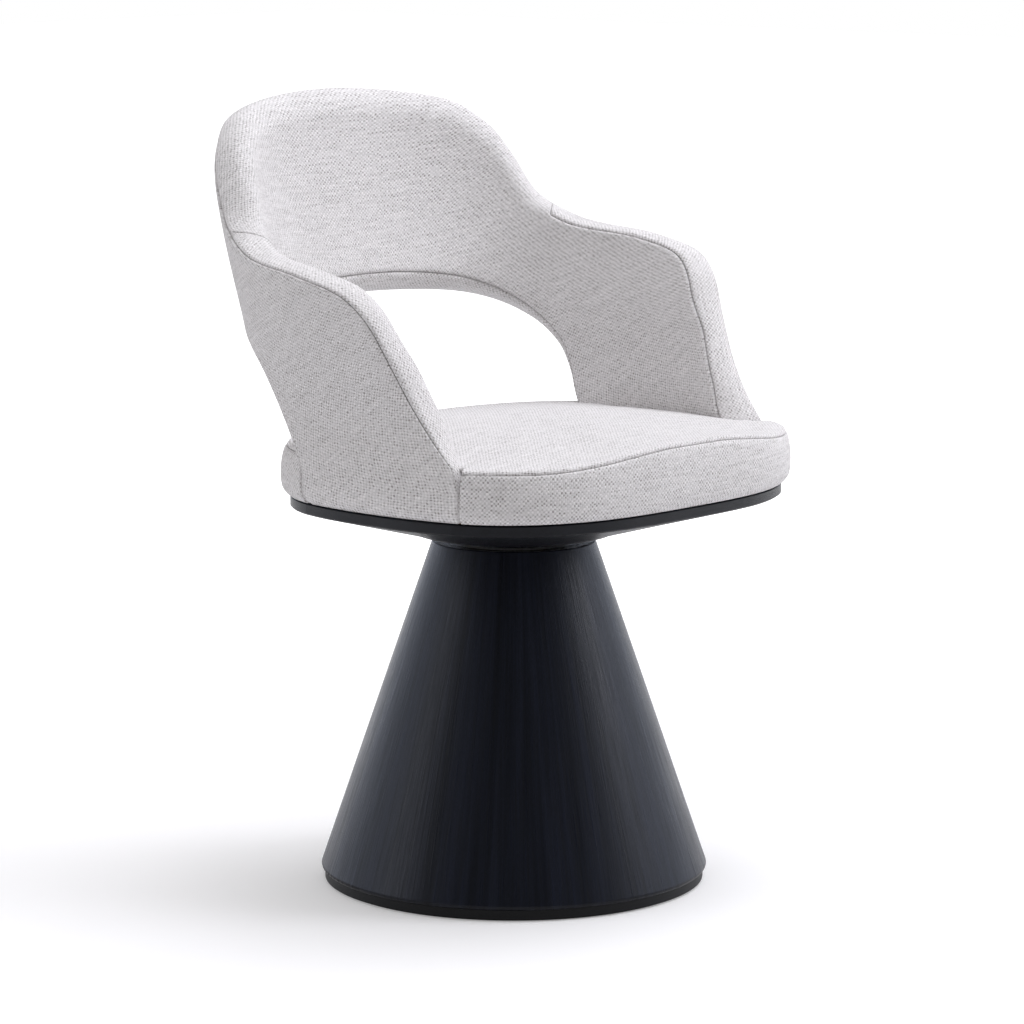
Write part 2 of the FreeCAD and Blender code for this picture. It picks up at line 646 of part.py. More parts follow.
def section(edge, opening, opening_inner, share):
    """The shell's loop across the arch: four corners and the middles of the four arcs between them."""
    thickness = (size["back_thickness"] + (size["arm_thickness"] - size["back_thickness"]) * ease(share, *THINNER)
                 + (size["leg_thickness"] - size["arm_thickness"]) * ease(share, *THICKER))
    roll = size["back_roll"] + (size["arm_roll"] - size["back_roll"]) * ease(share, *LESS_ROLL)
    tilt = size["arm_tilt"] * ease(share, *TILTING) * (1 - ease(share, *LEVELLING))
    across = (edge + opening) / 2
    across_inner = (edge + opening_inner) / 2
    inside = lambda place: skin(place.x, place.y) + inward(place.x, place.y) * thickness
    top, bottom, bottom_inner = skin(edge.x, edge.y), skin(opening.x, opening.y), inside(opening_inner)
    up = (top - bottom).normalize()
    sideways = up.cross(bottom_inner - bottom).normalize()
    depth = sideways.cross(up)
    flat = lambda point: point - sideways * (point - top).dot(sideways)
    top_inner = flat(inside(edge)) - up * tilt
    return {
        "edge": top, "edge_inner": top_inner, "opening_inner": bottom_inner, "opening": bottom,
        "outer": flat(skin(across.x, across.y)), "top": bowed(top, top_inner, up, roll),
        "inner": flat(inside(across_inner)), "opening_middle": bowed(bottom_inner, bottom, -up, size["opening_roll"]),
        "up": up, "depth": depth, "share": share}


def level_section(level):
    """A leg's loop at one level: upright below the seat's seam, and between the outlines above it."""
    places = []
    for line in (EDGE_LINE, OPENING_LINE, OPENING_INNER_LINE):
        k = next((k for k in range(len(line) - 1, 0, -1) if line[k - 1].y > level), None)
        angle = line[-1].x if level <= line[-1].y or k is None else line[k].x
        places.append(Vector(angle, level, 0))
    return section(*places, 1.0)


# Each arc of a loop, in order round it: its first corner, its middle, its last corner and the way into the loop
ARCS_ROUND = {
    "outer": ("opening", "outer", "edge", lambda loop: loop["depth"]),
    "top": ("edge", "top", "edge_inner", lambda loop: -loop["up"]),
    "inner": ("edge_inner", "inner", "opening_inner", lambda loop: -loop["depth"]),
    "opening": ("opening_inner", "opening_middle", "opening", lambda loop: loop["up"])}


def leaving(start, middle, end):
    """The unit vector along an arc where it leaves its start."""
    chord = (end - start).normalize()
    half = (middle - start).normalize()
    return (half * (2 * half.dot(chord)) - chord).normalize()


def inset_loop(loop, **insets):
    """The loop with each of its four arcs moved inwards by its own amount."""
    result = dict(loop)
    for before, after in zip(SIDES, SIDES[1:] + SIDES[:1]):
        first, middle, corner, _ = ARCS_ROUND[before]
        _, next_middle, last, _ = ARCS_ROUND[after]
        back_along = leaving(loop[corner], loop[middle], loop[first])
        on_along = leaving(loop[corner], loop[next_middle], loop[last])
        slant = back_along.cross(on_along).Length
        result[corner] = loop[corner] + (on_along * insets.get(before, 0) + back_along * insets.get(after, 0)) / slant
    for side in SIDES:
        first, middle, last, way_in = ARCS_ROUND[side]
        chord = (loop[last] - loop[first]).normalize()
        way = way_in(loop)
        result[middle] = loop[middle] + (way - chord * way.dot(chord)).normalize() * insets.get(side, 0)
    return result


def mirrored(loop):
    flip = lambda value: Vector(-value.x, value.y, value.z) if isinstance(value, Vector) else value
    return {name: flip(value) for name, value in loop.items()}


def half_arch(bottom, first=0.0):
    """The loops from the rear middle, or from a share of the way, down to a leg's foot at a level."""
    shares = sorted(set([k / STATIONS for k in range(STATIONS + 1)]) | set(CROSS_SEAM))
    loops = [section(along(EDGE_LINE, share), along(OPENING_LINE, share), along(OPENING_INNER_LINE, share), share)
             for share in shares if share >= first]
    for level in (size["seat_level"], (size["seat_level"] + bottom) / 2, bottom):
        loops.append(level_section(level))
    return loops


def whole_arch(bottom):
    half = half_arch(bottom)
    return [mirrored(loop) for loop in reversed(half[1:])] + half


def side_arc(loop, side, start=0.0, end=1.0):
    """The part of one side's arc between two shares of its length."""
    first, middle, last, _ = ARCS_ROUND[side]
    curve = Part.Arc(loop[first], loop[middle], loop[last]).toShape()
    low, high = curve.ParameterRange
    at = lambda share: curve.valueAt(low + (high - low) * share)
    return arc(at(start), at((start + end) / 2), at(end))


def strip(outside, inside):
    """A closed outline between two runs of arcs that go the same way."""
    ends = [(run[0].firstVertex().Point, run[-1].lastVertex().Point) for run in (outside, inside)]
    back = [Part.Arc(*(edge.valueAt(edge.ParameterRange[0] + (edge.ParameterRange[1] - edge.ParameterRange[0]) * t)
                       for t in (1, 0.5, 0))).toShape() for edge in reversed(inside)]
    closing = [Part.makeLine(ends[0][1], ends[1][1])] + back + [Part.makeLine(ends[1][0], ends[0][0])]
    return Part.Wire(list(outside) + closing)


def shell_solid(loops, ruled=False, **insets):
    """The space inside the shell's skin, or a part of it, with each side moved inwards."""
    wires = [Part.Wire([side_arc(loop, side) for side in SIDES]) for loop in
             (inset_loop(loop, **insets) for loop in loops)]
    return Part.makeLoft(wires, True, ruled)


THICK, SEAM = size["cover_thickness"], size["seam_gap"]


def cover_loops(loop, side):
    """The outer and inner loops between which one side's cover lies, mitred at its seams."""
    face = {name: SEAM for name in SIDES}
    back = {name: THICK + SEAM for name in SIDES}
    face[side], back[side] = 0, THICK
    return inset_loop(loop, **face), inset_loop(loop, **back)


def cover(loops, side):
    wires = []
    for loop in loops:
        face, back = cover_loops(loop, side)
        wires.append(strip([side_arc(face, side)], [side_arc(back, side)]))
    return Part.makeLoft(wires, True, False)


def wrap(share):
    """How much of the top the inner cover takes: all of it on the back, its seam allowance on the arms."""
    return 1 - TOP_LEFT_TO_STRIP * ease(share, CROSS_SEAM[0], CROSS_SEAM[2])


def inner_cover(loops):
    wires = []
    for loop in loops:
        face = inset_loop(loop, outer=SEAM, opening=SEAM)
        back = inset_loop(loop, outer=THICK + SEAM, opening=THICK + SEAM, inner=THICK, top=THICK)
        runs = [[side_arc(level, "top", 1 - wrap(loop["share"]), 1), side_arc(level, "inner")]
                for level in (face, back)]
        wires.append(strip(*runs))
    return Part.makeLoft(wires, True, False)


def gusset(loops):
    wires = []
    for loop in loops:
        face = inset_loop(loop, outer=SEAM)
        back = inset_loop(loop, outer=THICK + SEAM, inner=THICK, top=THICK)
        width = (loop["edge"] - loop["edge_inner"]).Length
        end = 1 - wrap(loop["share"]) - size["strip_gap"] / width
        wires.append(strip([side_arc(face, "top", 0, end)], [side_arc(back, "top", 0, end)]))
    return Part.makeLoft(wires, True, False)


COVER_BOTTOM, FOAM_BOTTOM = size["cover_bottom"], size["foam_bottom"]
FOAM_INSET, GAP = size["foam_inset"], size["cover_gap"]
BEYOND = 20
cover_arch = whole_arch(COVER_BOTTOM)
foam_arch = whole_arch(FOAM_BOTTOM)
right_arm = half_arch(FOAM_BOTTOM, CROSS_SEAM[1])


# Steel frame inside the shell: two bent rods welded to foot strips, with straight struts across the back
BEND_SHARE = 0.45
STRAIGHT_ON = -0.99999
ROD_CLEAR_OF_SEAM = 20
ROD_UPRIGHT = 30

def bent(points):
    """Straight runs through points, joined by tangent arcs as large as their shorter run allows."""
    edges = []
    start = points[0]
    for before, corner, after in zip(points, points[1:], points[2:]):
        reach = BEND_SHARE * min((corner - before).Length, (after - corner).Length)
        back, on = (before - corner).normalize(), (after - corner).normalize()
        if back.dot(on) < STRAIGHT_ON:
            continue
        bend_start, bend_end = corner + back * reach, corner + on * reach
        half_turn = (math.pi - back.getAngle(on)) / 2
        radius = reach / math.tan(half_turn)
        centre = corner + (back + on).normalize() * (radius / math.cos(half_turn))
        edges.append(Part.makeLine(start, bend_start))
        edges.append(arc(bend_start, centre + (corner - centre).normalize() * radius, bend_end))
        start = bend_end
    edges.append(Part.makeLine(start, points[-1]))
    return Part.Wire(edges)


def rod(path, radius):
    ring = Part.Wire(Part.makeCircle(radius, path.Edges[0].firstVertex().Point,
                                     path.Edges[0].tangentAt(path.Edges[0].FirstParameter)))
    return path.makePipeShell([ring], True, False)


def frame_points(side, foot):
    """Points of a rod in the middle of the shell's thickness, near its edge or its opening."""
    half = []
    for loop in half_arch(FOAM_BOTTOM)[:-3:2]:
        if side == "top":
            near, far = (loop["edge"] + loop["edge_inner"]) / 2, (loop["opening"] + loop["opening_inner"]) / 2
        else:
            near, far = (loop["opening"] + loop["opening_inner"]) / 2, (loop["edge"] + loop["edge_inner"]) / 2
        half.append(near + (far - near).normalize() * size["frame_edge_inset"])
    rod_end = Vector(size["foot_strip_across"], size[foot], size["foot_strip_top"])
    half = [point for point in half if point.z > size["seam_level"] + ROD_CLEAR_OF_SEAM]
    half += [rod_end + Vector(0, 0, ROD_UPRIGHT), rod_end]
    return [Vector(-point.x, point.y, point.z) for point in reversed(half[1:])] + half


ROD = size["frame_rod_radius"]
rod_lines = {"frame_outer_rod": frame_points("top", "outer_rod_foot"),
             "frame_inner_rod": frame_points("opening", "inner_rod_foot")}
rods = {}
for label, points in rod_lines.items():
    rods[label] = rod(bent(points), ROD)
    add_piece(label, rods[label])

STRUT_STEPS = (-2, 0, 2)


def strut(step, radius):
    """A straight round bar between the two rods, so many points from their middle."""
    start, end = (line[len(line) // 2 + step] for line in (rod_lines["frame_inner_rod"], rod_lines["frame_outer_rod"]))
    return Part.makeCylinder(radius, (end - start).Length, start, end - start)


struts = Part.makeCompound([strut(step, size["strut_radius"]) for step in STRUT_STEPS])
for label in rods:
    struts = struts.cut(rods[label])
add_piece("frame_struts", struts)

STRIP_TOP = size["foot_strip_top"]
NUT_TOP = STRIP_TOP + size["weld_nut_height"]


def foot_strip(side, play=0.0):
    """The block of one foot strip, larger all round by a play."""
    width = size["foot_strip_width"] + 2 * play
    length = size["foot_strip_rear"] - size["foot_strip_front"] + 2 * play
    corner = Vector(side * size["foot_strip_across"] - width / 2, size["foot_strip_front"] - play, BOARD_TOP)
    return Part.makeBox(width, length, size["foot_strip_thickness"] + play, corner)


strips = Part.makeCompound([foot_strip(side) for side in (-1, 1)])
weld_nuts = []
frame_bolts = []
for x, y in FRAME_BOLTS:
    strips = strips.cut(cylinder(size["bolt_radius"] + size["hole_play"], BOARD_TOP, STRIP_TOP, x, y))
    bore = cylinder(size["bolt_radius"] + size["thread_play"], STRIP_TOP, NUT_TOP, x, y)
    weld_nuts.append(cylinder(size["weld_nut_radius"], STRIP_TOP, NUT_TOP, x, y).cut(bore))
    head = cylinder(size["bolt_head_radius"], head_top - size["bolt_head_height"], head_top, x, y)
    frame_bolts.append(head.fuse(cylinder(size["bolt_radius"], head_top, NUT_TOP + size["thread_end"], x, y)))
add_piece("frame_foot_strips", strips)
add_piece("frame_weld_nuts", Part.makeCompound(weld_nuts))
add_piece("frame_bolts", Part.makeCompound(frame_bolts))

# Shell foam, moulded round the frame
shell_foam = shell_solid(foam_arch, **{side: FOAM_INSET for side in SIDES})
for points in rod_lines.values():
    shell_foam = shell_foam.cut(rod(bent(points), ROD + GAP))
spaces = [strut(step, size["strut_radius"] + GAP) for step in STRUT_STEPS]
spaces += [foot_strip(side, GAP) for side in (-1, 1)]
spaces += [cylinder(size["weld_nut_radius"] + GAP, BOARD_TOP, NUT_TOP + size["thread_end"] + GAP, x, y)
           for x, y in FRAME_BOLTS]
for space in spaces:
    shell_foam = shell_foam.cut(space)
add_piece("shell_foam", shell_foam)

# Shell covers: woven fabric sewn from panels, each lofted over the foam between its seams
add_piece("shell_outer_cover", cover(cover_arch, "outer"))
add_piece("opening_band", cover(foam_arch, "opening"))
add_piece("shell_inner_cover", inner_cover(foam_arch))
add_piece("arm_gusset_right", gusset(right_arm))
add_piece("arm_gusset_left", gusset([mirrored(loop) for loop in right_arm]))

# Seat cushion: foam crowned on its board, under a top cover and a boxing that bulges past the plate
SIDE_RISES = (-0.05, 0.15, 0.32, 0.55, 0.78, 1)
WIDE = size["half_width_seat"] * 2
CROWN = ((0, 0), (0.28, 0.03), (0.57, 0.09), (0.82, 0.21), (0.96, 0.42), (1, 0.66))
SEAM_LEVEL = size["seam_level"]


def cushion_side(inset, bottom):
    """The cushion's space from a level up to the seam, with its skin moved inwards."""
    levels = [COVER_BOTTOM + (SEAM_LEVEL - COVER_BOTTOM) * share for share in SIDE_RISES]
    side = Part.makeLoft([oval(level, inset) for level in levels], True, False)
    return side.common(Part.makeBox(2 * WIDE, 2 * WIDE, WIDE, Vector(-WIDE, -WIDE, bottom)))


def cushion_crown(inset, lift, steps=CROWN):
    """The cushion's space above the seam, with its skin moved inwards and then lifted."""
    sections = [oval(SEAM_LEVEL, inset + inset_share * size["half_depth_seat"],
                     rise_share * size["crown_rise"] - inset + lift) for rise_share, inset_share in steps]
    return Part.makeLoft(sections, True, True)


def leg_space(flip):
    """The space that one leg of the shell takes in the cushion, run out past the skin."""
    wires = []
    for level in LEG_LEVELS:
        loop = inset_loop(level_section(level), top=-FRONT_LEG_GAP, inner=-LEG_GAP, opening=-LEG_GAP)
        loop = mirrored(loop) if flip else loop
        outwards = -loop["depth"] * BEYOND
        front, rear = loop["edge"], loop["opening"]
        edges = [side_arc(loop, side) for side in ("top", "inner", "opening")]
        edges += [Part.makeLine(rear, rear + outwards), Part.makeLine(rear + outwards, front + outwards),
                  Part.makeLine(front + outwards, front)]
        wires.append(Part.Wire(edges))
    return Part.makeLoft(wires, True, True)


LEG_GAP = size["leg_gap"]
FRONT_LEG_GAP = 2.5 * LEG_GAP
SINK = 0.6
LEG_LEVELS = (PLATE_TOP - BEYOND, size["foam_bottom"], size["seat_level"], SEAM_LEVEL, SEAM_LEVEL + BEYOND)
legs = [leg_space(False), leg_space(True)]
sunk_crown = ((-SINK, CROWN[1][1]),) + CROWN[1:]
seat_foam = cushion_side(FOAM_INSET, FOAM_BOTTOM).fuse(cushion_crown(FOAM_INSET, 0, sunk_crown))
boxing = cushion_side(0, COVER_BOTTOM).cut(cushion_side(THICK, COVER_BOTTOM - 1))
seat_top = cushion_crown(0, SEAM).cut(cushion_crown(THICK, SEAM))
for leg in legs:
    seat_foam = seat_foam.cut(leg)
    boxing = boxing.cut(leg)
    seat_top = seat_top.cut(leg)
add_piece("seat_foam", seat_foam)
add_piece("seat_top_cover", seat_top)
front_to_rear = sorted(boxing.Solids, key=lambda solid: solid.CenterOfMass.y)
add_piece("seat_front_boxing", front_to_rear[0])
add_piece("seat_rear_boxing", front_to_rear[-1])

doc.recompute()
for item in doc.Objects:
    if "Invalid" in item.State or "Error" in item.State:
        raise RuntimeError("%s failed: %s" % (item.Name, item.State))
for piece in pieces:
    if piece.Shape.isNull() or not piece.Shape.isValid():
        raise RuntimeError("%s has no valid shape" % piece.Label)
os.makedirs("parts", exist_ok=True)
for piece in pieces:
    shape = piece.Shape
    print(piece.Label, len(shape.Solids), round(shape.Volume / 1000, 2), "cm3")
    shape.exportStep("parts/%s.step" % piece.Label)
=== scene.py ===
import math
import bpy
import numpy as np
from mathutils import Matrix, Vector
from mathutils.bvhtree import BVHTree


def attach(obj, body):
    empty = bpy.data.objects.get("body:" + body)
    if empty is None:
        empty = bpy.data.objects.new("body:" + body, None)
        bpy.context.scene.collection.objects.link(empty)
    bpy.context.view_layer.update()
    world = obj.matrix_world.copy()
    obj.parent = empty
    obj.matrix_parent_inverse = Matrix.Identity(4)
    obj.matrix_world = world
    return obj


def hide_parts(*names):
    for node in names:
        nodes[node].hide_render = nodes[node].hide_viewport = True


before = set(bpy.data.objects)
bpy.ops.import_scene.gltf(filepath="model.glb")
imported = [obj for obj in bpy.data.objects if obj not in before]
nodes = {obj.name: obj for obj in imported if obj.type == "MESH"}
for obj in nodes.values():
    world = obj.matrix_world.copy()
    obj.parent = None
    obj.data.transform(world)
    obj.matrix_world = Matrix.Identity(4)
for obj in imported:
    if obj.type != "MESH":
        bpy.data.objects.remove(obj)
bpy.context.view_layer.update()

# Foot: a thin rubber pad glued under a painted steel plate, which carries the cone and the column.
# The pad stops it sliding and marking a floor, and from the side it shows as a dark line.


def linear(hex_colour):
    """A written sRGB colour as the linear one that a shader takes."""
    parts = [int(hex_colour[k:k + 2], 16) / 255 for k in (1, 3, 5)]
    return tuple(c / 12.92 if c <= 0.04045 else ((c + 0.055) / 1.055) ** 2.4 for c in parts) + (1.0,)


def add_node(tree, kind, settings=None, inputs=None):
    """Adds one shader node, sets it, and sets or links its inputs."""
    node = tree.nodes.new("ShaderNode" + kind)
    for name, value in (settings or {}).items():
        setattr(node, name, value)
    for name, value in (inputs or {}).items():
        if isinstance(value, bpy.types.NodeSocket):
            tree.links.new(value, node.inputs[name])
        else:
            node.inputs[name].default_value = value
    return node


def new_finish(name, roughness, metallic=0.0):
    finish = bpy.data.materials.new(name)
    finish.use_nodes = True
    shader = finish.node_tree.nodes["Principled BSDF"]
    shader.inputs["Roughness"].default_value = roughness
    shader.inputs["Metallic"].default_value = metallic
    return finish, finish.node_tree, shader


def grainy(name, dark, light, grain_mm, roughness, metallic=0.0, bump_mm=0.02):
    """A finish whose colour, gloss and surface vary with a fine even grain."""
    finish, tree, shader = new_finish(name, roughness, metallic)
    place = add_node(tree, "TexCoord").outputs["Object"]
    grain = add_node(tree, "TexNoise", None, {"Vector": place, "Scale": 1000 / grain_mm, "Detail": 3.0})
    cloud = add_node(tree, "TexNoise", None, {"Vector": place, "Scale": 60 / grain_mm, "Detail": 2.0})
    both = add_node(tree, "Mix", None, {0: 0.5, 2: grain.outputs["Fac"], 3: cloud.outputs["Fac"]})
    tint = add_node(tree, "Mix", {"data_type": "RGBA"},
                    {0: both.outputs[0], 6: linear(dark), 7: linear(light)})
    tree.links.new(tint.outputs[2], shader.inputs["Base Color"])
    gloss = add_node(tree, "MapRange", None, {"Value": grain.outputs["Fac"], "To Min": roughness - 0.06,
                                              "To Max": roughness + 0.08})
    tree.links.new(gloss.outputs[0], shader.inputs["Roughness"])
    bump = add_node(tree, "Bump", None, {"Height": grain.outputs["Fac"], "Distance": bump_mm / 1000,
                                         "Strength": 0.6})
    tree.links.new(bump.outputs[0], shader.inputs["Normal"])
    shader.inputs["Specular IOR Level"].default_value = 0.5 if metallic else 0.2
    return finish


def paint(finish, *names):
    """Gives CAD nodes a finish."""
    for name in names:
        for place in nodes[name].material_slots:
            place.material = finish


# Moulded rubber is dull and slightly pitted
paint(grainy("moulded black rubber", "#101012", "#1d1d20", 1.2, 0.78, bump_mm=0.08), "floor_pad")
# Powder coat on steel shows a fine even orange peel
paint(grainy("black powder-coated steel", "#050506", "#0b0b0d", 0.7, 0.5, bump_mm=0.04),
      "foot_plate", "column_base_flange", "column_tube", "column_top_flange")

# Cone: ash veneer stained black over a plywood cone, its grain running up the slant, under a satin lacquer.
# It is glued to a ring at its foot and hangs from nothing at its top, where the bearing clears it.


PORE_LENGTH_MM = 60
CONE_MEAN_RADIUS_MM = 140


def black_wood(name, round_the_axis, pore_mm, roughness, stain, streak):
    """Stained wood whose grain runs up a turned face, or along X on a flat one."""
    finish, tree, shader = new_finish(name, roughness)
    place = add_node(tree, "TexCoord").outputs["Object"]
    if round_the_axis:
        parts = add_node(tree, "SeparateXYZ", None, {0: place})
        flat = add_node(tree, "CombineXYZ", None, {"X": parts.outputs[0], "Y": parts.outputs[1]})
        radius = add_node(tree, "VectorMath", {"operation": "LENGTH"}, {0: flat.outputs[0]})
        by_radius = add_node(tree, "CombineXYZ", None, {"X": radius.outputs["Value"],
                                                        "Y": radius.outputs["Value"], "Z": 1.0})
        turn = add_node(tree, "VectorMath", {"operation": "DIVIDE"},
                        {0: flat.outputs[0], 1: by_radius.outputs[0]})
        sides = add_node(tree, "SeparateXYZ", None, {0: turn.outputs[0]})
        place = add_node(tree, "CombineXYZ", None, {"X": sides.outputs[0], "Y": sides.outputs[1],
                                                    "Z": parts.outputs[2]}).outputs[0]
        across = CONE_MEAN_RADIUS_MM / pore_mm
        stretch = (across, across, 1000 / PORE_LENGTH_MM)
    else:
        stretch = (1000 / PORE_LENGTH_MM, 1000 / pore_mm, 1000 / pore_mm)
    stretched = add_node(tree, "Mapping", None, {"Vector": place, "Scale": stretch})
    pores = add_node(tree, "TexNoise", None, {"Vector": stretched.outputs[0], "Scale": 1.0, "Detail": 4.0,
                                              "Roughness": 0.65})
    wide = add_node(tree, "Mapping", None, {"Vector": place, "Scale": tuple(s * 0.14 for s in stretch)})
    rings = add_node(tree, "TexNoise", None, {"Vector": wide.outputs[0], "Scale": 1.0, "Detail": 3.0,
                                              "Distortion": 0.8})
    grain = add_node(tree, "Math", {"operation": "MULTIPLY"},
                     {0: pores.outputs["Fac"], 1: rings.outputs["Fac"]})
    level = add_node(tree, "MapRange", None, {"Value": grain.outputs[0], "From Min": 0.12, "From Max": 0.42})
    tint = add_node(tree, "Mix", {"data_type": "RGBA"},
                    {0: level.outputs[0], 6: linear(stain), 7: linear(streak)})
    tree.links.new(tint.outputs[2], shader.inputs["Base Color"])
    gloss = add_node(tree, "MapRange", None,
                     {"Value": pores.outputs["Fac"], "From Min": 0.35, "From Max": 0.65,
                      "To Min": roughness + 0.14, "To Max": roughness - 0.06})
    tree.links.new(gloss.outputs[0], shader.inputs["Roughness"])
    bump = add_node(tree, "Bump", None, {"Height": pores.outputs["Fac"], "Distance": 0.0003, "Strength": 0.7})
    tree.links.new(bump.outputs[0], shader.inputs["Normal"])
    shader.inputs["Specular IOR Level"].default_value = 0.18
    return finish


# Open-pored ash takes the stain darkest in its pores, and the lacquer leaves it satin.
# The pores are drawn a few times wider than real ones, so that they show.
paint(black_wood("black-stained ash", True, 1.3, 0.32, "#030409", "#171a25"), "cone_shell")


def plies(name, sheet_mm):
    """Birch plywood, whose edge shows thin plies that turn from pale to tan."""
    finish, tree, shader = new_finish(name, 0.6)
    place = add_node(tree, "TexCoord").outputs["Object"]
    height = add_node(tree, "SeparateXYZ", None, {0: place}).outputs[2]
    step = add_node(tree, "Math", {"operation": "MULTIPLY"}, {0: height, 1: 1000 / sheet_mm})
    wave = add_node(tree, "Math", {"operation": "PINGPONG"}, {0: step.outputs[0], 1: 1.0})
    grain = add_node(tree, "TexNoise", None, {"Vector": place, "Scale": 220.0, "Detail": 4.0})
    shade = add_node(tree, "Math", {"operation": "MULTIPLY"}, {0: wave.outputs[0], 1: grain.outputs["Fac"]})
    tint = add_node(tree, "Mix", {"data_type": "RGBA"},
                    {0: shade.outputs[0], 6: linear("#c9a877"), 7: linear("#8f6a41")})
    tree.links.new(tint.outputs[2], shader.inputs["Base Color"])
    return finish


paint(plies("birch plywood", 1.4), "cone_base_ring", "cone_top_ring", "seat_board")

# Swivel bearing and pivot: zinc-plated races, polished balls in a nylon cage, and a bolt in a brass bush.
# Plated screws hold the lower race to the column and the upper race to the seat plate.
paint(grainy("zinc-plated steel", "#9a9ca0", "#b9bbbf", 1.5, 0.34, metallic=1.0),
      "bearing_lower_race", "bearing_upper_race", "lower_race_screws", "upper_race_screws",
      "cone_ring_screws", "foot_bolts", "pivot_bolt", "pivot_washer", "pivot_nut", "seat_bolts",
      "seat_tee_nuts", "frame_bolts", "frame_weld_nuts")
paint(grainy("polished ball steel", "#c3c5c8", "#d6d8db", 2.0, 0.14, metallic=1.0, bump_mm=0.001),
      "bearing_balls")
paint(grainy("drawn brass", "#b08d4f", "#c8a566", 1.5, 0.3, metallic=1.0), "pivot_bush")
paint(grainy("natural nylon", "#d9d6cb", "#e6e3d9", 1.0, 0.5), "bearing_cage")

# Seat plate: a turned and shaped hardwood plate, stained and lacquered black like the cone.
# Its thin edge band shows all round under the upholstery.
paint(black_wood("black-lacquered beech", False, 0.9, 0.36, "#040509", "#0e1017"), "seat_plate")

# Shell frame: bent steel rods and struts welded to foot strips, in a grey rust primer.
# The foam is moulded round it, so nothing of it shows.
paint(grainy("grey-primed steel", "#5a5c5f", "#6b6d70", 1.0, 0.55),
      "frame_outer_rod", "frame_inner_rod", "frame_struts", "frame_foot_strips")

# Shell: moulded foam round the frame, in covers of woven wool sewn along the edge and the opening.
# The inner cover runs over the top of the back, and a strip covers the front of each arm to the seat.
# Lengths in this section are in millimetres and angles in degrees, as in the part's source.
GIRTHS = {"squareness": (2.9, 2.753, 2.417), "half_width": (255.5, 275.0, 385.5),
          "half_depth": (212, 317.8, 625.2), "rear_reach": (179, 256.9, 287.3)}
SEAT_LEVEL, ARM_LEVEL, CROWN_LEVEL = 440, 620, 790
BULGE_REACH, BULGE_RISE, BULGE_POWER = 8.5, 30, 5
SEAM_LEVEL, SHOULDER, BACK_TOP = 464.5, 656, 786
COVER_FOOT = 410.6
OPENING_TOP, OPENING_INNER_TOP = 587, 596
# How far the leg's corners are turned from the rear
LEG_FRONT, LEG_REAR, LEG_REAR_INNER = 116.5, 69.7, 61.6
FOOT_SLANT = 0.4
BACK_THICKNESS, ARM_THICKNESS, LEG_THICKNESS = 42, 39, 42
BACK_ROLL, ARM_ROLL, OPENING_ROLL = 13, 5, 8
ARM_TILT, FOOT_TILT = 11, 9
# Each outline is a list of shares of its angle and of its height
BACK_EDGE = ((0, 1), (0.078, 0.96), (0.138, 0.88), (0.188, 0.71), (0.257, 0.43), (0.33, 0.16), (0.412, 0))
ARM_EDGE = ((0.575, 0.92), (0.702, 0.83), (0.779, 0.71), (0.865, 0.49), (0.928, 0.27), (0.966, 0.11),
            (0.988, 0))
OPENING_EDGE = ((0, 1), (0.26, 0.984), (0.5, 0.926), (0.675, 0.788), (0.803, 0.625), (0.89, 0.43),
                (0.954, 0.23), (0.99, 0.045), (1, -0.135))
OPENING_INNER_EDGE = ((0, 1), (0.31, 0.97), (0.5, 0.918), (0.65, 0.836), (0.763, 0.74), (0.877, 0.613),
                      (0.966, 0.457), (1.003, 0.257), (1.003, 0.078), (1, -0.123))


def unit(vectors):
    return vectors / np.linalg.norm(vectors, axis=-1, keepdims=True)


def dot(a, b):
    return (a * b).sum(axis=-1, keepdims=True)


def ease(value, start, end):
    """From 0 at the start to 1 at the end, level at both."""
    share = np.clip((value - start) / (end - start), 0, 1)
    return share * share * (3 - 2 * share)


def girth(name, level):
    """A measure of the skin at a level, on the parabola through its seat, arm and crown values."""
    low, middle, high = GIRTHS[name]
    first = (middle - low) / (ARM_LEVEL - SEAT_LEVEL)
    second = ((high - middle) / (CROWN_LEVEL - ARM_LEVEL) - first) / (CROWN_LEVEL - SEAT_LEVEL)
    return low + first * (level - SEAT_LEVEL) + second * (level - SEAT_LEVEL) * (level - ARM_LEVEL)


def skin(angle, level, inset=0.0):
    """Points of the upholstery's outer form, at angles from the rear, positive towards +X."""
    angle, level = np.radians(np.asarray(angle, float)), np.asarray(level, float)
    held = np.maximum(level, SEAT_LEVEL)
    inset = inset + BULGE_REACH * ((held - level) / BULGE_RISE) ** BULGE_POWER
    depth = girth("half_depth", held)
    power = girth("squareness", held)
    across = np.abs(np.sin(angle)) / (girth("half_width", held) - inset)
    along = np.abs(np.cos(angle)) / (depth - inset)
    reach = (across ** power + along ** power) ** (-1 / power)
    centre = girth("rear_reach", held) - depth
    places = np.broadcast_arrays(reach * np.sin(angle), centre + reach * np.cos(angle), level)
    return np.stack(places, axis=-1)


def inward(angle, level):
    """The way from the skin into the foam, which is level at the seat."""
    level = np.maximum(level, SEAT_LEVEL)
    round_it = skin(angle + 0.5, level) - skin(angle - 0.5, level)
    up_it = skin(angle, level + 1) - skin(angle, level)
    way = np.cross(round_it, up_it)
    way[..., 2] *= ease(level, SEAM_LEVEL, ARM_LEVEL)
    return unit(way)


MM_PER_DEGREE = 3.5


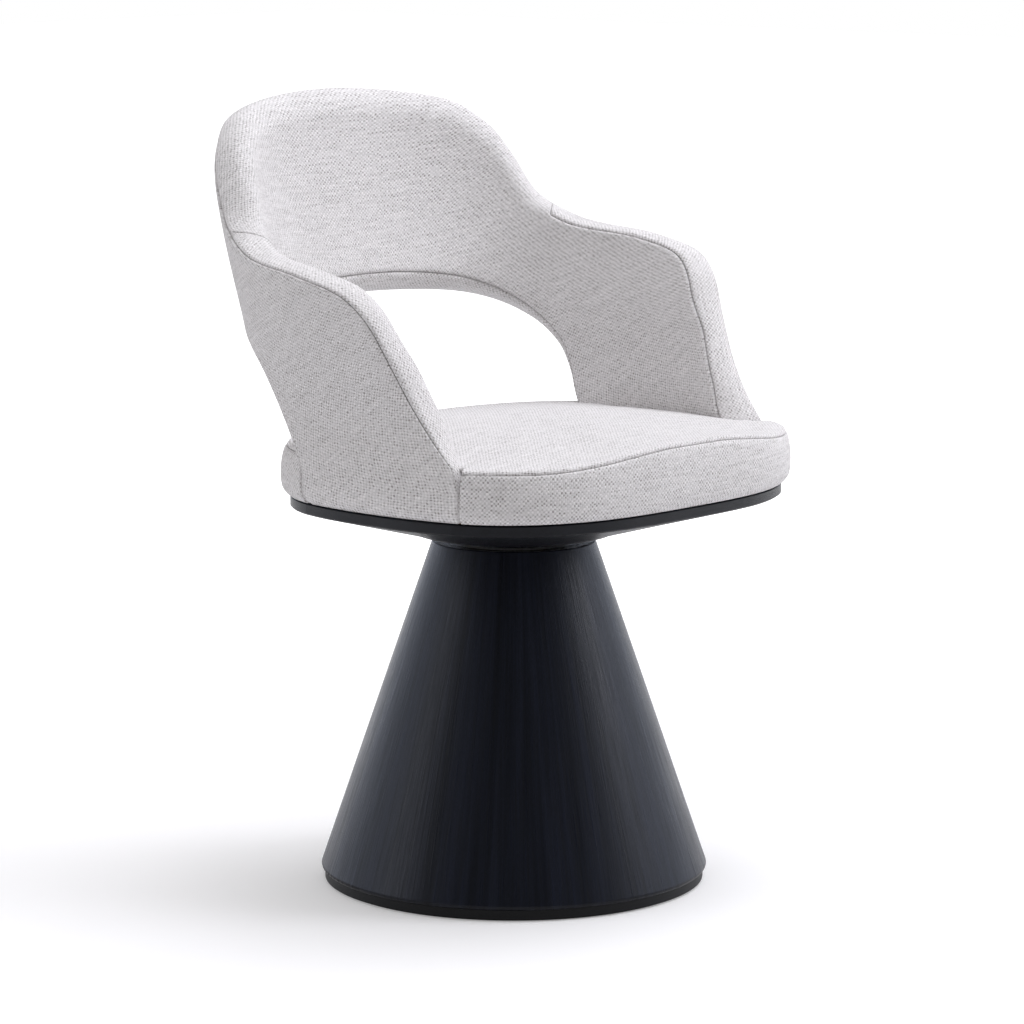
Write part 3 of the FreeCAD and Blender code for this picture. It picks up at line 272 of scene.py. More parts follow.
def smooth_line(points, steps=40):
    """A smooth line of (angle, level) through points that start at the rear middle."""
    points = np.array(points, float)
    run = np.vstack([[-points[1][0], points[1][1]], points])
    gaps = np.hypot(MM_PER_DEGREE * np.diff(run[:, 0]), np.diff(run[:, 1]))
    slopes = np.diff(run, axis=0) / gaps[:, None]
    leans = [(slopes[k] * gaps[k + 1] + slopes[k + 1] * gaps[k]) / (gaps[k] + gaps[k + 1])
             for k in range(len(gaps) - 1)]
    leans.append(slopes[-1])
    line = []
    for k in range(len(points) - 1):
        start, end, gap = points[k], points[k + 1], gaps[k + 1]
        for step in range(steps):
            t = step / steps
            line.append(start * (2 * t ** 3 - 3 * t * t + 1) + end * (3 * t * t - 2 * t ** 3)
                        + leans[k] * gap * (t ** 3 - 2 * t * t + t) + leans[k + 1] * gap * (t ** 3 - t * t))
    return np.array(line + [points[-1]])


def outline(points, angle, low, high):
    """The (angle, level) of an outline's points, between two levels."""
    return [(angle * share, low + (high - low) * height) for share, height in points]


edge_line = smooth_line(outline(BACK_EDGE, LEG_FRONT, SHOULDER, BACK_TOP)
                        + outline(ARM_EDGE, LEG_FRONT, SEAM_LEVEL, SHOULDER))
opening_line = smooth_line(outline(OPENING_EDGE, LEG_REAR, SEAM_LEVEL, OPENING_TOP))
opening_inner_line = smooth_line(outline(OPENING_INNER_EDGE, LEG_REAR_INNER, SEAM_LEVEL, OPENING_INNER_TOP))


def foot_share(level):
    """How far down a leg's foot a level is, from 0 at the seat's seam to 1 at the covers' lower edge."""
    return np.clip((SEAM_LEVEL - level) / (SEAM_LEVEL - COVER_FOOT), 0, 1)


def length_along(line):
    """How far along a line each of its points lies."""
    return np.concatenate([[0], np.cumsum(np.linalg.norm(np.diff(line, axis=0), axis=1))])


def along_line(line, shares, levels, slant=0.0):
    """The (angle, level) at shares of a line's length on the skin, then down at lower levels."""
    lengths = length_along(skin(line[:, 0], line[:, 1]))
    at = np.array(shares) * lengths[-1]
    places = np.stack([np.interp(at, lengths, line[:, k]) for k in (0, 1)], axis=1)
    return np.vstack([places, [(line[-1, 0] - slant * foot_share(level), level) for level in levels]])


# Places along the arch are shares of its half, from 0 at the middle of the back to 1 at the seat's seam.
# The seam at the top end of a strip crosses the roll between two of them, where the stations lie closer.
CROSS_SEAM_START, CROSS_SEAM_END = 0.443, 0.473
near_cross_seam = np.linspace(CROSS_SEAM_START - 0.005, CROSS_SEAM_END + 0.005, 15)
shares = np.unique(np.concatenate([np.linspace(0, 1, 121), near_cross_seam]))
foot_levels = (440, 434, 428, 422, 417, 413, COVER_FOOT)
share = np.concatenate([shares, np.ones(len(foot_levels))])
edge = along_line(edge_line, shares, foot_levels, FOOT_SLANT)
opening = along_line(opening_line, shares, foot_levels)
opening_inner = along_line(opening_inner_line, shares, foot_levels)


def inside(place):
    """Points under the skin by the foam's thickness."""
    return skin(place[:, 0], place[:, 1]) + inward(place[:, 0], place[:, 1]) * thickness


thickness = (BACK_THICKNESS + (ARM_THICKNESS - BACK_THICKNESS) * ease(share, 0.3, 0.55)
             + (LEG_THICKNESS - ARM_THICKNESS) * ease(share, 0.85, 0.95))[:, None]
roll = (BACK_ROLL + (ARM_ROLL - BACK_ROLL) * ease(share, 0.28, 0.43))[:, None]
tilt = (ARM_TILT * ease(share, 0.3, 0.5) * (1 - ease(share, 0.79, 0.87))
        + FOOT_TILT * ease(share, 0.93, 1))[:, None]
top = skin(edge[:, 0], edge[:, 1])
bottom, bottom_inner = skin(opening[:, 0], opening[:, 1]), inside(opening_inner)
up = unit(top - bottom)
sideways = unit(np.cross(up, bottom_inner - bottom))


def flat(points):
    """Points moved sideways onto the plane of their station."""
    return points - sideways * dot(points - top, sideways)


def bowed(start, end, towards, amount):
    """The middle of an arc that stands an amount off its chord."""
    chord = unit(end - start)
    return (start + end) / 2 + unit(towards - chord * dot(towards, chord)) * amount


top_inner = flat(inside(edge)) - up * tilt
middle = (edge + opening) / 2
middle_inner = (edge + opening_inner) / 2
sides = [(bottom, flat(skin(middle[:, 0], middle[:, 1])), top),
         (top, bowed(top, top_inner, up, roll), top_inner),
         (top_inner, flat(inside(middle_inner)), bottom_inner),
         (bottom_inner, bowed(bottom_inner, bottom, -up, OPENING_ROLL), bottom)]


def arc_points(side, part):
    """Points at parts of the arcs through the first, middle and last points of a side."""
    first, via, last = side
    ab, ac = via - first, last - first
    normal = np.cross(ab, ac)
    size = dot(normal, normal)
    centre = first + (dot(ac, ac) * np.cross(normal, ab) + dot(ab, ab) * np.cross(ac, normal)) / (2 * size)
    e1 = first - centre
    e2 = np.cross(unit(normal), e1)
    to_last = last - centre
    sweep = np.arctan2(dot(to_last, e2), dot(to_last, e1)) % (2 * math.pi)
    turn = (sweep * part)[..., None]
    return centre[:, None] + np.cos(turn) * e1[:, None] + np.sin(turn) * e2[:, None]


# How far each corner of the loop is rounded, higher up and at its foot: edge, inner edge, inner opening
# and outer opening. The inner edge is rounder along the back.
CORNER_ROUNDS = ((6, 1.8), (6, 4), (7, 4), (7, 2.5))
BACK_INNER_ROUND = 16
FACE_POINTS, ROLL_POINTS, CORNER_POINTS = 48, 18, 19
low_down = ease(share, 0.93, 1.0)
corner_reach = [higher + (at_foot - higher) * low_down for higher, at_foot in CORNER_ROUNDS]
corner_reach[1] = corner_reach[1] + (BACK_INNER_ROUND - CORNER_ROUNDS[1][0]) * (1 - ease(share, 0.42, 0.48))
lengths = [np.linalg.norm(last - first, axis=1) for first, _, last in sides]
runs = []
for k, count in enumerate((FACE_POINTS, ROLL_POINTS, FACE_POINTS, ROLL_POINTS)):
    start, end = corner_reach[k - 1] / lengths[k], 1 - corner_reach[k] / lengths[k]
    part = start[:, None] + (end - start)[:, None] * np.linspace(0, 1, count)[None]
    runs.append(arc_points(sides[k], part))
corners = []
for k in range(4):
    t = np.linspace(0, 1, CORNER_POINTS)[None, :, None]
    start, knee, end = runs[k][:, -1:], sides[k][2][:, None], runs[(k + 1) % 4][:, :1]
    corners.append(start * (1 - t) ** 2 + knee * 2 * t * (1 - t) + end * t * t)
half_corner = CORNER_POINTS // 2
loop = np.concatenate([corners[3][:, half_corner:-1], runs[0], corners[0][:, 1:-1], runs[1],
                       corners[1][:, 1:-1], runs[2], corners[2][:, 1:-1], runs[3],
                       corners[3][:, 1:half_corner + 1]], axis=1)
seam_edge = half_corner + FACE_POINTS + half_corner - 1
seam_edge_inner = seam_edge + half_corner + ROLL_POINTS + half_corner - 1
seam_opening_inner = seam_edge_inner + half_corner + FACE_POINTS + half_corner - 1
# The whole arch runs from the left foot over the back to the right foot
arch = np.concatenate([(loop * (-1, 1, 1))[:0:-1], loop])
arch_share = np.concatenate([share[:0:-1], share])
way_round = np.gradient(arch, axis=1)
way_along = np.gradient(arch, axis=0)
arch_out = unit(np.cross(way_round, way_along))
if (arch_out * (arch - arch.mean(axis=1, keepdims=True))).sum() < 0:
    arch_out = -arch_out
girth_so_far = np.concatenate([np.zeros((len(arch), 1)),
                               np.cumsum(np.linalg.norm(np.diff(arch, axis=1), axis=2), axis=1)], axis=1)
cross_seam = ease(arch_share, CROSS_SEAM_START, CROSS_SEAM_END)
seam_at = {"opening": girth_so_far[:, 0], "edge": girth_so_far[:, seam_edge],
           "edge_inner": girth_so_far[:, seam_edge_inner],
           "opening_inner": girth_so_far[:, seam_opening_inner], "end": girth_so_far[:, -1]}
seam_at["cross"] = seam_at["edge"] + (seam_at["edge_inner"] - seam_at["edge"]) * cross_seam
NEAR_SEAM = np.array([0.3, 0.6, 1.0, 1.6, 2.4, 3.4, 4.8, 6.6])
SEAM_DEPTH, SEAM_SOFTNESS, SEAM_TURN_IN = 3.3, 1.15, 4.0
NARROW_PANEL = 16
TURNED_IN_CLOTH = (4, 1.3)
COVER_THICKNESS = 0.9
MERGE_REACH = 0.01


def grid_quads(rows, columns):
    """The quads of a grid of points that are numbered row by row."""
    number = np.arange(rows * columns).reshape(rows, columns)
    quads = np.stack([number[:-1, :-1], number[1:, :-1], number[1:, 1:], number[:-1, 1:]], axis=-1)
    return quads.reshape(-1, 4)


def grid_piece(name, points, cloth, outwards, body, closed=False):
    """A piece from a grid of points in millimetres, with its cloth map, turned to face outwards."""
    quads = grid_quads(*points.shape[:2])
    flat_points = points.reshape(-1, 3)
    a, b, c = (flat_points[quads[:, k]] for k in range(3))
    facing = (np.cross(b - a, c - a) * outwards.reshape(-1, 3)[quads[:, 0]]).sum()
    if facing < 0:
        quads = quads[:, ::-1]
    mesh = bpy.data.meshes.new(name)
    mesh.from_pydata((flat_points / 1000).tolist(), [], quads.tolist())
    cloth_map = mesh.uv_layers.new(name="cloth")
    corner = np.empty(len(mesh.loops), dtype=np.int32)
    mesh.loops.foreach_get("vertex_index", corner)
    cloth_map.data.foreach_set("uv", (cloth.reshape(-1, 2)[corner] / 1000).astype(np.float32).ravel())
    mesh.polygons.foreach_set("use_smooth", np.ones(len(mesh.polygons), dtype=bool))
    piece = bpy.data.objects.new(name, mesh)
    bpy.context.scene.collection.objects.link(piece)
    bpy.ops.object.select_all(action="DESELECT")
    piece.select_set(True)
    bpy.context.view_layer.objects.active = piece
    if closed:
        weld = piece.modifiers.new("weld", "WELD")
        weld.merge_threshold = MERGE_REACH / 1000
        bpy.ops.object.modifier_apply(modifier=weld.name)
    cloth_thickness = piece.modifiers.new("cloth thickness", "SOLIDIFY")
    cloth_thickness.thickness = COVER_THICKNESS / 1000
    cloth_thickness.offset = -1
    bpy.ops.object.modifier_apply(modifier=cloth_thickness.name)
    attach(piece, body)
    return piece


def panel_rows(start, end, stations, count):
    """Rows of a panel between two seams: rolled in and turned under at both, at each station of the arch."""
    far, near_by = TURNED_IN_CLOTH
    points, out, across = [], [], []
    for k in stations:
        width = end[k] - start[k]
        near = NEAR_SEAM * min(1, width / NARROW_PANEL)
        between = np.linspace(near[-1], width - near[-1], count + 2)[1:-1]
        places = np.concatenate([near, between, width - near[::-1]])
        here, away = (np.stack([np.interp(start[k] + places, girth_so_far[k], values[k, :, axis])
                                for axis in range(3)], axis=1) for values in (arch, arch_out))
        away = unit(away)
        to_seam = np.minimum(places, width - places)
        here = here - away * (SEAM_DEPTH * np.exp(-to_seam / SEAM_SOFTNESS))[:, None]
        tuck = [here[0] - away[0] * SEAM_TURN_IN, here[0] - away[0] * SEAM_TURN_IN / 3]
        tuck_end = [here[-1] - away[-1] * SEAM_TURN_IN / 3, here[-1] - away[-1] * SEAM_TURN_IN]
        points.append(np.vstack([tuck, here, tuck_end]))
        out.append(np.vstack([away[:1], away[:1], away, away[-1:], away[-1:]]))
        across.append(np.concatenate([[-far, -near_by], places, [width + near_by, width + far]]))
    return np.array(points), np.array(out), np.array(across)


CUT_RADIUS = 740
CLOTH_PER_RISE = 1.08
round_angles = np.linspace(-180, 180, 721)
round_length = length_along(skin(round_angles, ARM_LEVEL))
round_length -= round_length[-1] / 2


def cut_flat(points, over_top=0.0):
    """The cloth map of a panel cut flat and bent to the tub, so that its weft climbs along the arms."""
    held = np.maximum(points[..., 2], SEAT_LEVEL)
    centre = girth("rear_reach", held) - girth("half_depth", held)
    angle = np.degrees(np.arctan2(points[..., 0], points[..., 1] - centre))
    turn = np.interp(angle, round_angles, round_length) / CUT_RADIUS
    rise = CUT_RADIUS + (points[..., 2] - ARM_LEVEL) * CLOTH_PER_RISE + over_top
    return np.stack([rise * np.sin(turn), rise * np.cos(turn) - CUT_RADIUS], axis=-1)


def strip_map(points, across):
    """The cloth map of a strip, with its warp along it."""
    length = length_along(points[:, points.shape[1] // 2])
    return np.stack([np.broadcast_to(length[:, None], across.shape), across], axis=-1)


# A wool weave of pale and grey heathered yarns: soft, dull, with a light fuzz and thicker slub yarns.
# The threads lie 2.2 mm apart, and the darker warp shows as a dot wherever it comes up.
THREAD = 2.2
tweed, tree, shader = new_finish("grey wool basket weave", 0.92)
cloth_place = add_node(tree, "UVMap", {"uv_map": "cloth"}).outputs[0]
in_threads = add_node(tree, "VectorMath", {"operation": "SCALE"}, {0: cloth_place, "Scale": 1000 / THREAD})
sway = add_node(tree, "TexNoise", {"noise_dimensions": "2D"},
                {"Vector": in_threads.outputs[0], "Scale": 0.3, "Detail": 2.0})
swayed = add_node(tree, "VectorMath", {"operation": "MULTIPLY_ADD"},
                  {0: sway.outputs["Color"], 1: (1.3, 1.3, 0.0), 2: in_threads.outputs[0]})
yarns = add_node(tree, "SeparateXYZ", None, {0: swayed.outputs[0]})
warp_no = add_node(tree, "Math", {"operation": "FLOOR"}, {0: yarns.outputs[0]}).outputs[0]
weft_no = add_node(tree, "Math", {"operation": "FLOOR"}, {0: yarns.outputs[1]}).outputs[0]
waves = []
for which in (0, 1):
    turned = add_node(tree, "Math", {"operation": "MULTIPLY"}, {0: yarns.outputs[which], 1: math.pi})
    waves.append(add_node(tree, "Math", {"operation": "SINE"}, {0: turned.outputs[0]}).outputs[0])
up_or_down = add_node(tree, "Math", {"operation": "MULTIPLY"}, {0: waves[0], 1: waves[1]}).outputs[0]
warp_on_top = add_node(tree, "MapRange", {"interpolation_type": "SMOOTHSTEP"},
                       {"Value": up_or_down, "From Min": 0.1, "From Max": -0.7}).outputs[0]
crossing = add_node(tree, "CombineXYZ", None, {"X": warp_no, "Y": weft_no}).outputs[0]
speck = add_node(tree, "TexWhiteNoise", {"noise_dimensions": "2D"}, {"Vector": crossing}).outputs["Value"]
slub_place = add_node(tree, "Mapping", None, {"Vector": in_threads.outputs[0], "Scale": (0.05, 0.8, 1.0)})
slub = add_node(tree, "TexNoise", {"noise_dimensions": "2D"},
                {"Vector": slub_place.outputs[0], "Scale": 1.0, "Detail": 2.0}).outputs["Fac"]
uneven = add_node(tree, "MapRange", None, {"Value": speck, "To Min": 0.1, "To Max": 1.25}).outputs[0]
covered = add_node(tree, "MapRange", None, {"Value": slub, "From Min": 0.35, "From Max": 0.65,
                                            "To Min": 1.05, "To Max": 0.65}).outputs[0]
warp_on_top = add_node(tree, "Math", {"operation": "MULTIPLY"}, {0: warp_on_top, 1: uneven}).outputs[0]
warp_on_top = add_node(tree, "Math", {"operation": "MULTIPLY"}, {0: warp_on_top, 1: covered}).outputs[0]
bulge = add_node(tree, "Math", {"operation": "ABSOLUTE"}, {0: up_or_down}).outputs[0]
bulge = add_node(tree, "Math", {"operation": "POWER"}, {0: bulge, 1: 0.5}).outputs[0]
yarn_tint = add_node(tree, "Mix", {"data_type": "RGBA"},
                     {0: warp_on_top, 6: linear("#e3e1e1"), 7: linear("#94908e")})
heather = add_node(tree, "MapRange", None, {"Value": speck, "To Min": 0.88, "To Max": 1.05}).outputs[0]
streak = add_node(tree, "MapRange", None, {"Value": slub, "From Min": 0.3, "From Max": 0.72,
                                           "To Min": 0.94, "To Max": 1.04}).outputs[0]
# Painted shade: the yarns' colour is darkened towards the gaps where they dip under each other
shade = add_node(tree, "MapRange", None, {"Value": bulge, "From Min": 0.0, "From Max": 0.6,
                                          "To Min": 0.8, "To Max": 1.0}).outputs[0]
tone = add_node(tree, "Math", {"operation": "MULTIPLY"}, {0: heather, 1: streak}).outputs[0]
tone = add_node(tree, "Math", {"operation": "MULTIPLY"}, {0: tone, 1: shade}).outputs[0]
woven = add_node(tree, "VectorMath", {"operation": "SCALE"}, {0: yarn_tint.outputs[2], "Scale": tone})
tree.links.new(woven.outputs[0], shader.inputs["Base Color"])
relief = add_node(tree, "Math", {"operation": "MULTIPLY_ADD"}, {0: speck, 1: 0.2, 2: bulge}).outputs[0]
bump = add_node(tree, "Bump", None, {"Height": relief, "Distance": 0.0005, "Strength": 0.4})
tree.links.new(bump.outputs[0], shader.inputs["Normal"])
shader.inputs["Sheen Weight"].default_value = 0.25
shader.inputs["Sheen Roughness"].default_value = 0.5
shader.inputs["Specular IOR Level"].default_value = 0.15


def upholster(piece, *covers):
    """Gives a fabric panel the woven wool finish and hides the CAD nodes that it is built in place of."""
    piece.data.materials.append(tweed)
    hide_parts(*covers)


everywhere = range(len(arch))
points, out, across = panel_rows(seam_at["opening"], seam_at["edge"], everywhere, 40)
outer_panel = grid_piece("shell_outer_panel", points, cut_flat(points), out, "seat")
upholster(outer_panel, "shell_outer_cover", "shell_foam")

points, out, across = panel_rows(seam_at["cross"], seam_at["opening_inner"], everywhere, 48)
to_inner_edge = (seam_at["edge_inner"] - seam_at["cross"])[:, None] - across
inner_edge_level = arch[:, seam_edge_inner, 2][:, None]
# Past the inner edge the panel's own length stands in for the height it no longer gains
past_edge = to_inner_edge + CLOTH_PER_RISE * (inner_edge_level - points[..., 2])
over_top = np.where(to_inner_edge > 0, past_edge, 0)
inner_panel = grid_piece("shell_inner_panel", points, cut_flat(points, over_top), out, "seat")
upholster(inner_panel, "shell_inner_cover")

points, out, across = panel_rows(seam_at["opening_inner"], seam_at["end"], everywhere, 14)
band = grid_piece("opening_band_panel", points, strip_map(points, across), out, "seat")
upholster(band, "opening_band")

# A strip starts where the seam at its top end has just left the edge
middle_station = len(share) - 1
LEFT_THE_EDGE = 0.02
first_strip = next(k for k in range(middle_station, len(arch)) if cross_seam[k] > LEFT_THE_EDGE)
for name, stations in (("arm_strip_right", range(first_strip, len(arch))),
                       ("arm_strip_left", range(len(arch) - 1 - first_strip, -1, -1))):
    points, out, across = panel_rows(seam_at["edge"], seam_at["cross"], stations, 14)
    strip = grid_piece(name, points, strip_map(points, across), out, "seat")
    upholster(strip, "arm_gusset_" + name.split("_")[2])

# Seat cushion: a foam block crowned on its board, under a top cover and a boxing that bulges past the plate.
# The covers are sewn together along the cushion's edge and tucked against the shell's legs.
# Lengths in this section too are in millimetres and angles in degrees.
LEG_START, LEG_END = 68.9, 115.3
BESIDE_LEG, CLEAR_OF_LEG = 0.5, 4.0
FRONT_LAP, REAR_LAP = 1.2, 0.3
PUFF, PUFF_SOFTNESS = 3.5, 2.2
CROWN_RISE, CROWN_START, CROWN_END = 12.0, 15, 170
LOW_LIFT, FRONT_LIFT, LIFT_FADE = -4.5, 8.5, 110
LIFT_START, LIFT_END = 130, 172
CLOTH_PER_INSET = 1.1
DRAWN_IN, DRAWN_IN_FROM, DRAWN_IN_FADE = 4.5, 435, 80
LEG_HOLLOW, LEG_HOLLOW_FADE = 18, 60
NEAR_LEG_WIDTH = 12
fine = [LEG_START + step for step in (-1.2, -0.8, -0.5, -0.2, -0.1, 0, 0.1, 0.2, 0.3)]
fine += [LEG_END + step for step in (1.2, 0.6, 0.3, 0, -0.15, -0.35, -0.6, -1.2)]
ring_angles = np.unique(np.concatenate([np.arange(-180, 180, 1.25), fine, [-angle for angle in fine]]))
turned_from_rear = np.abs(ring_angles)
beside_leg = (ease(turned_from_rear, LEG_START - 0.2, LEG_START + 0.1)
              * (1 - ease(turned_from_rear, LEG_END - 0.4, LEG_END)))
# The seam runs a little lower at the sides and the rear, and rises to the middle of the front
seam_lift = LOW_LIFT + (FRONT_LIFT - LOW_LIFT) * ease(turned_from_rear, LIFT_START, LIFT_END)
side_levels = np.array([COVER_FOOT, 411.4, 413, 416, 420, 425, 430, 435, 440, 445, 450, 454, 457.5, 460,
                        461.8, 463, 463.8, 464.2])
crown_insets = np.array([0.2, 0.5, 1.0, 1.7, 2.8, 4.5, 7, 10, 14, 19, 25, 32, 40, 50, 62, 76, 92, 110, 130,
                         150, 170, 186, 198])


def cushion_ring(level, inset, lift):
    """One ring of the cushion, drawn in towards its seam, and held back where a leg passes it."""
    near_leg = np.exp(-((turned_from_rear - LEG_END) / NEAR_LEG_WIDTH) ** 2)
    towards_seam = max(0.0, (level - DRAWN_IN_FROM) / (SEAM_LEVEL - DRAWN_IN_FROM))
    drawn_in = DRAWN_IN * towards_seam ** 2 * (1 - near_leg) * max(0.0, 1 - inset / DRAWN_IN_FADE)
    held_back = inset + drawn_in + LEG_HOLLOW * beside_leg * max(0.0, 1 - inset / LEG_HOLLOW_FADE)
    ring = skin(ring_angles - FOOT_SLANT * foot_share(level) * near_leg * np.sign(ring_angles),
                min(level, SEAT_LEVEL), held_back)
    up_the_side = min(1.0, (level - COVER_FOOT) / (SEAM_LEVEL - COVER_FOOT))
    near_seam = math.exp(-inset / LIFT_FADE)
    ring[:, 2] = level + lift + up_the_side * (seam_lift * near_seam + LOW_LIFT * (1 - near_seam))
    return ring


crown_lifts = (PUFF * (1 - np.exp(-crown_insets / PUFF_SOFTNESS))
               + CROWN_RISE * ease(crown_insets, CROWN_START, CROWN_END))
cushion = np.array([cushion_ring(level, 0, 0) for level in side_levels]
                   + [cushion_ring(SEAM_LEVEL, inset, lift)
                      for inset, lift in zip(crown_insets, crown_lifts)])
cushion = np.concatenate([cushion, cushion[:, :1]], axis=1)
to_leg = np.minimum(np.abs(turned_from_rear - LEG_START), np.abs(turned_from_rear - LEG_END))
beside = 1 - ease(np.append(to_leg, to_leg[0]), BESIDE_LEG, CLEAR_OF_LEG)
near_top_edge = np.maximum(0, 1 - crown_insets / LEG_HOLLOW_FADE)
near_edge = np.concatenate([np.ones(len(side_levels)), near_top_edge])
free_of_leg = 1 - near_edge[:, None] * beside


def ring_normals(form):
    """The way out of the cushion at each point of its rings, straight up in the middle."""
    normals = unit(np.cross(np.gradient(form, axis=1), np.gradient(form, axis=0)))
    if (normals[4] * (form[4] - form[4].mean(axis=0))).sum() < 0:
        normals = -normals
    normals[-1] = (0, 0, 1)
    return normals


VOXEL, WELD_REACH, HELD_BELOW = 6, 0.1, 418
PRESSURE, SIMULATED_STEPS = 4.0, 20
MOST_SWELL, SMOOTHING_PASSES = 3, 30
SWELL_START, SWELL_END = 412, 430


def blown_up(form):
    """The cushion's form swollen by cloth simulation, as foam swells a cover sewn a little small."""
    rows, columns = form.shape[:2]
    number = np.arange(rows * columns).reshape(rows, columns)
    mesh = bpy.data.meshes.new("cushion_form")
    mesh.from_pydata((form.reshape(-1, 3) / 1000).tolist(), [],
                     grid_quads(rows, columns)[:, [0, 3, 2, 1]].tolist()
                     + [number[0, ::-1].tolist()[:-1], number[-1].tolist()[:-1]])
    blown = bpy.data.objects.new("cushion_form", mesh)
    bpy.context.scene.collection.objects.link(blown)
    bpy.ops.object.select_all(action="DESELECT")
    blown.select_set(True)
    bpy.context.view_layer.objects.active = blown
    weld = blown.modifiers.new("weld", "WELD")
    weld.merge_threshold = WELD_REACH / 1000
    bpy.ops.object.modifier_apply(modifier=weld.name)
    remesh = blown.modifiers.new("remesh", "REMESH")
    remesh.mode = "VOXEL"
    remesh.voxel_size = VOXEL / 1000
    bpy.ops.object.modifier_apply(modifier=remesh.name)
    held = blown.vertex_groups.new(name="held")
    low = [v.index for v in blown.data.vertices if v.co.z < HELD_BELOW / 1000]
    held.add(low, 1.0, "REPLACE")
    cloth = blown.modifiers.new("cloth", "CLOTH")
    cloth.settings.use_pressure = True
    cloth.settings.uniform_pressure_force = PRESSURE
    cloth.settings.vertex_group_mass = "held"
    cloth.settings.effector_weights.gravity = 0.0
    cloth.point_cache.frame_start = 1
    cloth.point_cache.frame_end = SIMULATED_STEPS
    for step in range(1, SIMULATED_STEPS + 1):
        bpy.context.scene.frame_set(step)
    bpy.ops.object.modifier_apply(modifier=cloth.name)
    bpy.context.scene.frame_set(1)
    tree_of_faces = BVHTree.FromPolygons([v.co.copy() for v in blown.data.vertices],
                                         [tuple(p.vertices) for p in blown.data.polygons])
    normals = ring_normals(form)
    swell = np.zeros((rows, columns))
    for row in range(rows):
        for column in range(columns):
            place = tree_of_faces.find_nearest(Vector(form[row, column] / 1000))[0]
            swell[row, column] = np.dot(np.array(place) * 1000 - form[row, column], normals[row, column])
    swell = np.clip(swell, 0, MOST_SWELL)[:, :-1]
    for _ in range(SMOOTHING_PASSES):
        swell = (np.roll(swell, 1, axis=1) + swell + np.roll(swell, -1, axis=1)) / 3
        swell[1:-1] = (swell[:-2] + swell[1:-1] + swell[2:]) / 3
    swell = np.concatenate([swell, swell[:, :1]], axis=1)
    above_foot = ease(form[..., 2], SWELL_START, SWELL_END)
    bpy.data.objects.remove(blown)
    return form + normals * (swell * above_foot * free_of_leg)[..., None]


cushion = blown_up(cushion)
ring_out = ring_normals(cushion)
sides_count = len(side_levels)
from_seam = np.concatenate([SEAM_LEVEL - side_levels, crown_insets * CLOTH_PER_INSET])[:, None]
cushion = cushion - ring_out * (SEAM_DEPTH * np.exp(-from_seam / SEAM_SOFTNESS))[..., None]

top_rows = cushion[sides_count:]
out_rows = ring_out[sides_count:]
tuck = top_rows[:1] - out_rows[:1] * SEAM_TURN_IN
middle_point = np.broadcast_to(top_rows[-1].mean(axis=0) + (0, 0, 0.1), (1,) + top_rows.shape[1:])
top_rows = np.concatenate([tuck, top_rows, middle_point])
out_rows = np.concatenate([out_rows[:1], out_rows, out_rows[-1:]])
# The cloth map is the top seen from above, spread by the length that the slope takes up
steps = np.diff(top_rows, axis=0)
spare = np.linalg.norm(steps, axis=2) - np.linalg.norm(steps[..., :2], axis=2)
spare = np.concatenate([np.cumsum(spare[::-1], axis=0)[::-1], np.zeros((1, spare.shape[1]))])
outward = top_rows[..., :2] - top_rows[-1, 0, :2]
outward /= np.linalg.norm(outward, axis=2, keepdims=True) + 1e-6
laid_flat = top_rows[..., :2] + outward * spare[..., None]
seat_panel = grid_piece("seat_top_panel", top_rows, laid_flat, out_rows, "seat", closed=True)
upholster(seat_panel, "seat_top_cover", "seat_foam")

boxing_rows = cushion[:sides_count]
boxing_out = ring_out[:sides_count]
tuck = boxing_rows[-1:] - boxing_out[-1:] * SEAM_TURN_IN
boxing_rows = np.concatenate([boxing_rows, tuck])
boxing_out = np.concatenate([boxing_out, boxing_out[-1:]])
WIDEST_ROW = 8
for name, node, shift, limit in (("front_boxing_panel", "seat_front_boxing", 180, 180 - LEG_END + FRONT_LAP),
                                 ("rear_boxing_panel", "seat_rear_boxing", 0, LEG_START + REAR_LAP)):
    from_middle = (ring_angles - shift + 180) % 360 - 180
    order = np.argsort(from_middle)
    order = order[np.abs(from_middle[order]) <= limit]
    rows, out = boxing_rows[:, order], boxing_out[:, order]
    length = length_along(rows[WIDEST_ROW])
    cloth = np.stack([np.broadcast_to(length[None], rows.shape[:2]), rows[..., 2]], axis=-1)
    boxing = grid_piece(name, rows, cloth, out, "seat")
    upholster(boxing, node)

# Camera, matched to the photograph's view of the foot's ellipses, the plate's edge and the top of the back.
# It stands about 4.3 m away and looks 9 degrees down, through a long lens.
camera = bpy.data.objects.new("camera", bpy.data.cameras.new("camera"))
bpy.context.scene.collection.objects.link(camera)
camera.location = (-3.208, -2.869, 1.0685)
camera.rotation_euler = (math.radians(80.907), 0, math.radians(-48.192))
camera.data.lens = 150.13
camera.data.sensor_width = 36
camera.data.shift_x = -0.0018
bpy.context.scene.camera = camera
bpy.context.scene.view_settings.view_transform = "Standard"

# Studio: a plain pale floor that runs out of sight, a white surround and three soft boxes.
# The surround is darker behind the camera, which leaves the cone's front black between its bright sides.
# The floor is seen with a glow that grows away from the chair, so that the shadow stays near it.
bpy.ops.mesh.primitive_plane_add(size=30)
floor = bpy.context.object
floor.name = "studio_floor"
paper, tree, shader = new_finish("white backdrop paper", 0.9)
shader.inputs["Base Color"].default_value = linear("#e9e9ea")
shader.inputs["Specular IOR Level"].default_value = 0.1
seen = add_node(tree, "LightPath")
floor_place = add_node(tree, "TexCoord").outputs["Object"]
far_off = add_node(tree, "VectorMath", {"operation": "LENGTH"}, {0: floor_place})
fading = add_node(tree, "MapRange", {"interpolation_type": "SMOOTHSTEP"},
                  {"Value": far_off.outputs["Value"], "From Min": 0.7, "From Max": 2.4,
                   "To Min": 0.25, "To Max": 1.0})
glow = add_node(tree, "Emission", None, {"Color": (1, 1, 1, 1), "Strength": fading.outputs[0]})
